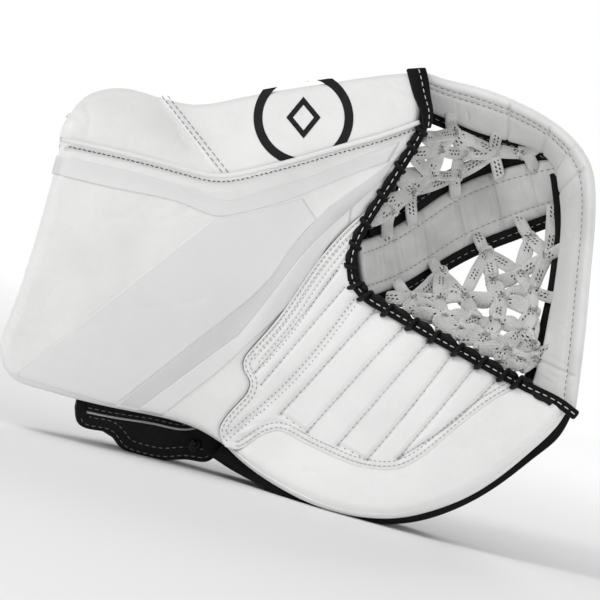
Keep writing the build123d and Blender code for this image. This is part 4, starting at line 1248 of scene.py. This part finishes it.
# ---------------------------------------------------------------- stitching
whole_front = tree_of(FRONTS)
rim_line = on_front(whole_front, offset_line(white_edge, 2.6)[4:-3], 0.1)
soft(tube("rim_edge_welt", WHITE, rim_line, oval(1.3, 1.0, 10), hint=TO_VIEWER), "palm_leather")
for heap, line, lift, how in SEWING:
    laid = on_front(whole_front, line, lift)
    # A heap of None marks a row of dark dots, painted shadow in the needle holes.
    if heap is None:
        for p in laid:
            holes.tube([p + (0, -0.25, 0), p, p + (0, 0.3, 0)], oval(1.7 * how, 2 * how, 7), hint=(1, 0, 0),
                       scale=[0.5, 1, 0.9])
    else:
        stitch(heap, laid, **how)
for name, heap, mat, slot in (
    ("grey_stitching", stitches, THREAD, "web_leather"),
    ("pale_stitching", pale_stitches, THREAD_PALE, "palm_leather"),
    ("dark_stitching", dark_stitches, THREAD_DARK, "palm_leather"),
    ("white_stitching", white_stitches, THREAD_WHITE, "edge_binding"),
    ("finger_back_stitching", finger_stitches, THREAD_BACK, "shell_nylon"),
    # needle dots: painted shadow in the needle holes
    ("needle_hole_shadows", holes, THREAD, "palm_leather"),
):
    soft(heap.build(name, mat), slot)
rigid(back_stitches.build("hand_back_stitching", THREAD_BACK), "cuff", "shell_nylon")

# ---------------------------------------------------------------- floor, light, camera
scene = bpy.context.scene
scene.view_settings.view_transform = "Standard"
scene.view_settings.look = "None"
scene.world = bpy.data.worlds.new("studio")
scene.world.use_nodes = True
tree = scene.world.node_tree
height = node(tree, "SeparateXYZ", "Z", Vector=node(tree, "TexCoord", "Generated"))
shades = [(at, (grey,) * 3) for at, grey in ((0.0, 1), (0.58, 1), (0.72, 0.5), (1.0, 0.42))]
settle(tree.nodes["Background"], Color=ramp(height * 0.5 + 0.5, *shades), Strength=1.0)

floor_mat, tree, shader = new_material("studio_floor")
from_middle = node(tree, "VectorMath", "Value", operation="LENGTH", Vector=node(tree, "TexCoord", "Object"))
fade = node(tree, "MapRange", From_Min=0.5, From_Max=2.2, To_Min=1.0, To_Max=0.0, interpolation_type="SMOOTHSTEP",
            Value=from_middle)
settle(shader, Base_Color=(0.94, 0.94, 0.94, 1), Roughness=0.9, Specular_IOR_Level=0.1, Alpha=fade)
mesh = bpy.data.meshes.new("floor")
mesh.from_pydata([(-3, -3, 0), (3, -3, 0), (3, 3, 0), (-3, 3, 0)], [], [(0, 1, 2, 3)])
mesh.materials.append(floor_mat)
floor = bpy.data.objects.new("floor", mesh)
scene.collection.objects.link(floor)

AIM = Vector((0.0, 0.0, 0.15))
for name, at, size, power in (("key", (-1.2, -0.9, 1.5), 0.7, 12), ("fill", (1.3, -1.7, 0.8), 1.0, 5),
                              ("back", (0.5, 1.6, 1.2), 0.8, 10)):
    light = bpy.data.lights.new(name, "AREA")
    light.shape, light.size, light.energy = "DISK", size, power
    lamp = bpy.data.objects.new(name, light)
    lamp.location = at
    lamp.rotation_euler = (AIM - Vector(at)).to_track_quat("-Z", "Y").to_euler()
    scene.collection.objects.link(lamp)

SENSOR, FAR, VIEW_WIDE = 36.0, 2600.0, 432.0
camera = bpy.data.objects.new("camera", bpy.data.cameras.new("camera"))
camera.data.sensor_width, camera.data.lens, camera.data.clip_end = SENSOR, SENSOR * FAR / VIEW_WIDE, 50
right, deep, up = FACE.T
place = world((0.0, 40.0 - FAR, 0.0))
camera.matrix_world = Matrix([*np.stack([right, up, -deep, place], 1).tolist(), (0, 0, 0, 1)])
scene.collection.objects.link(camera)
scene.camera = camera
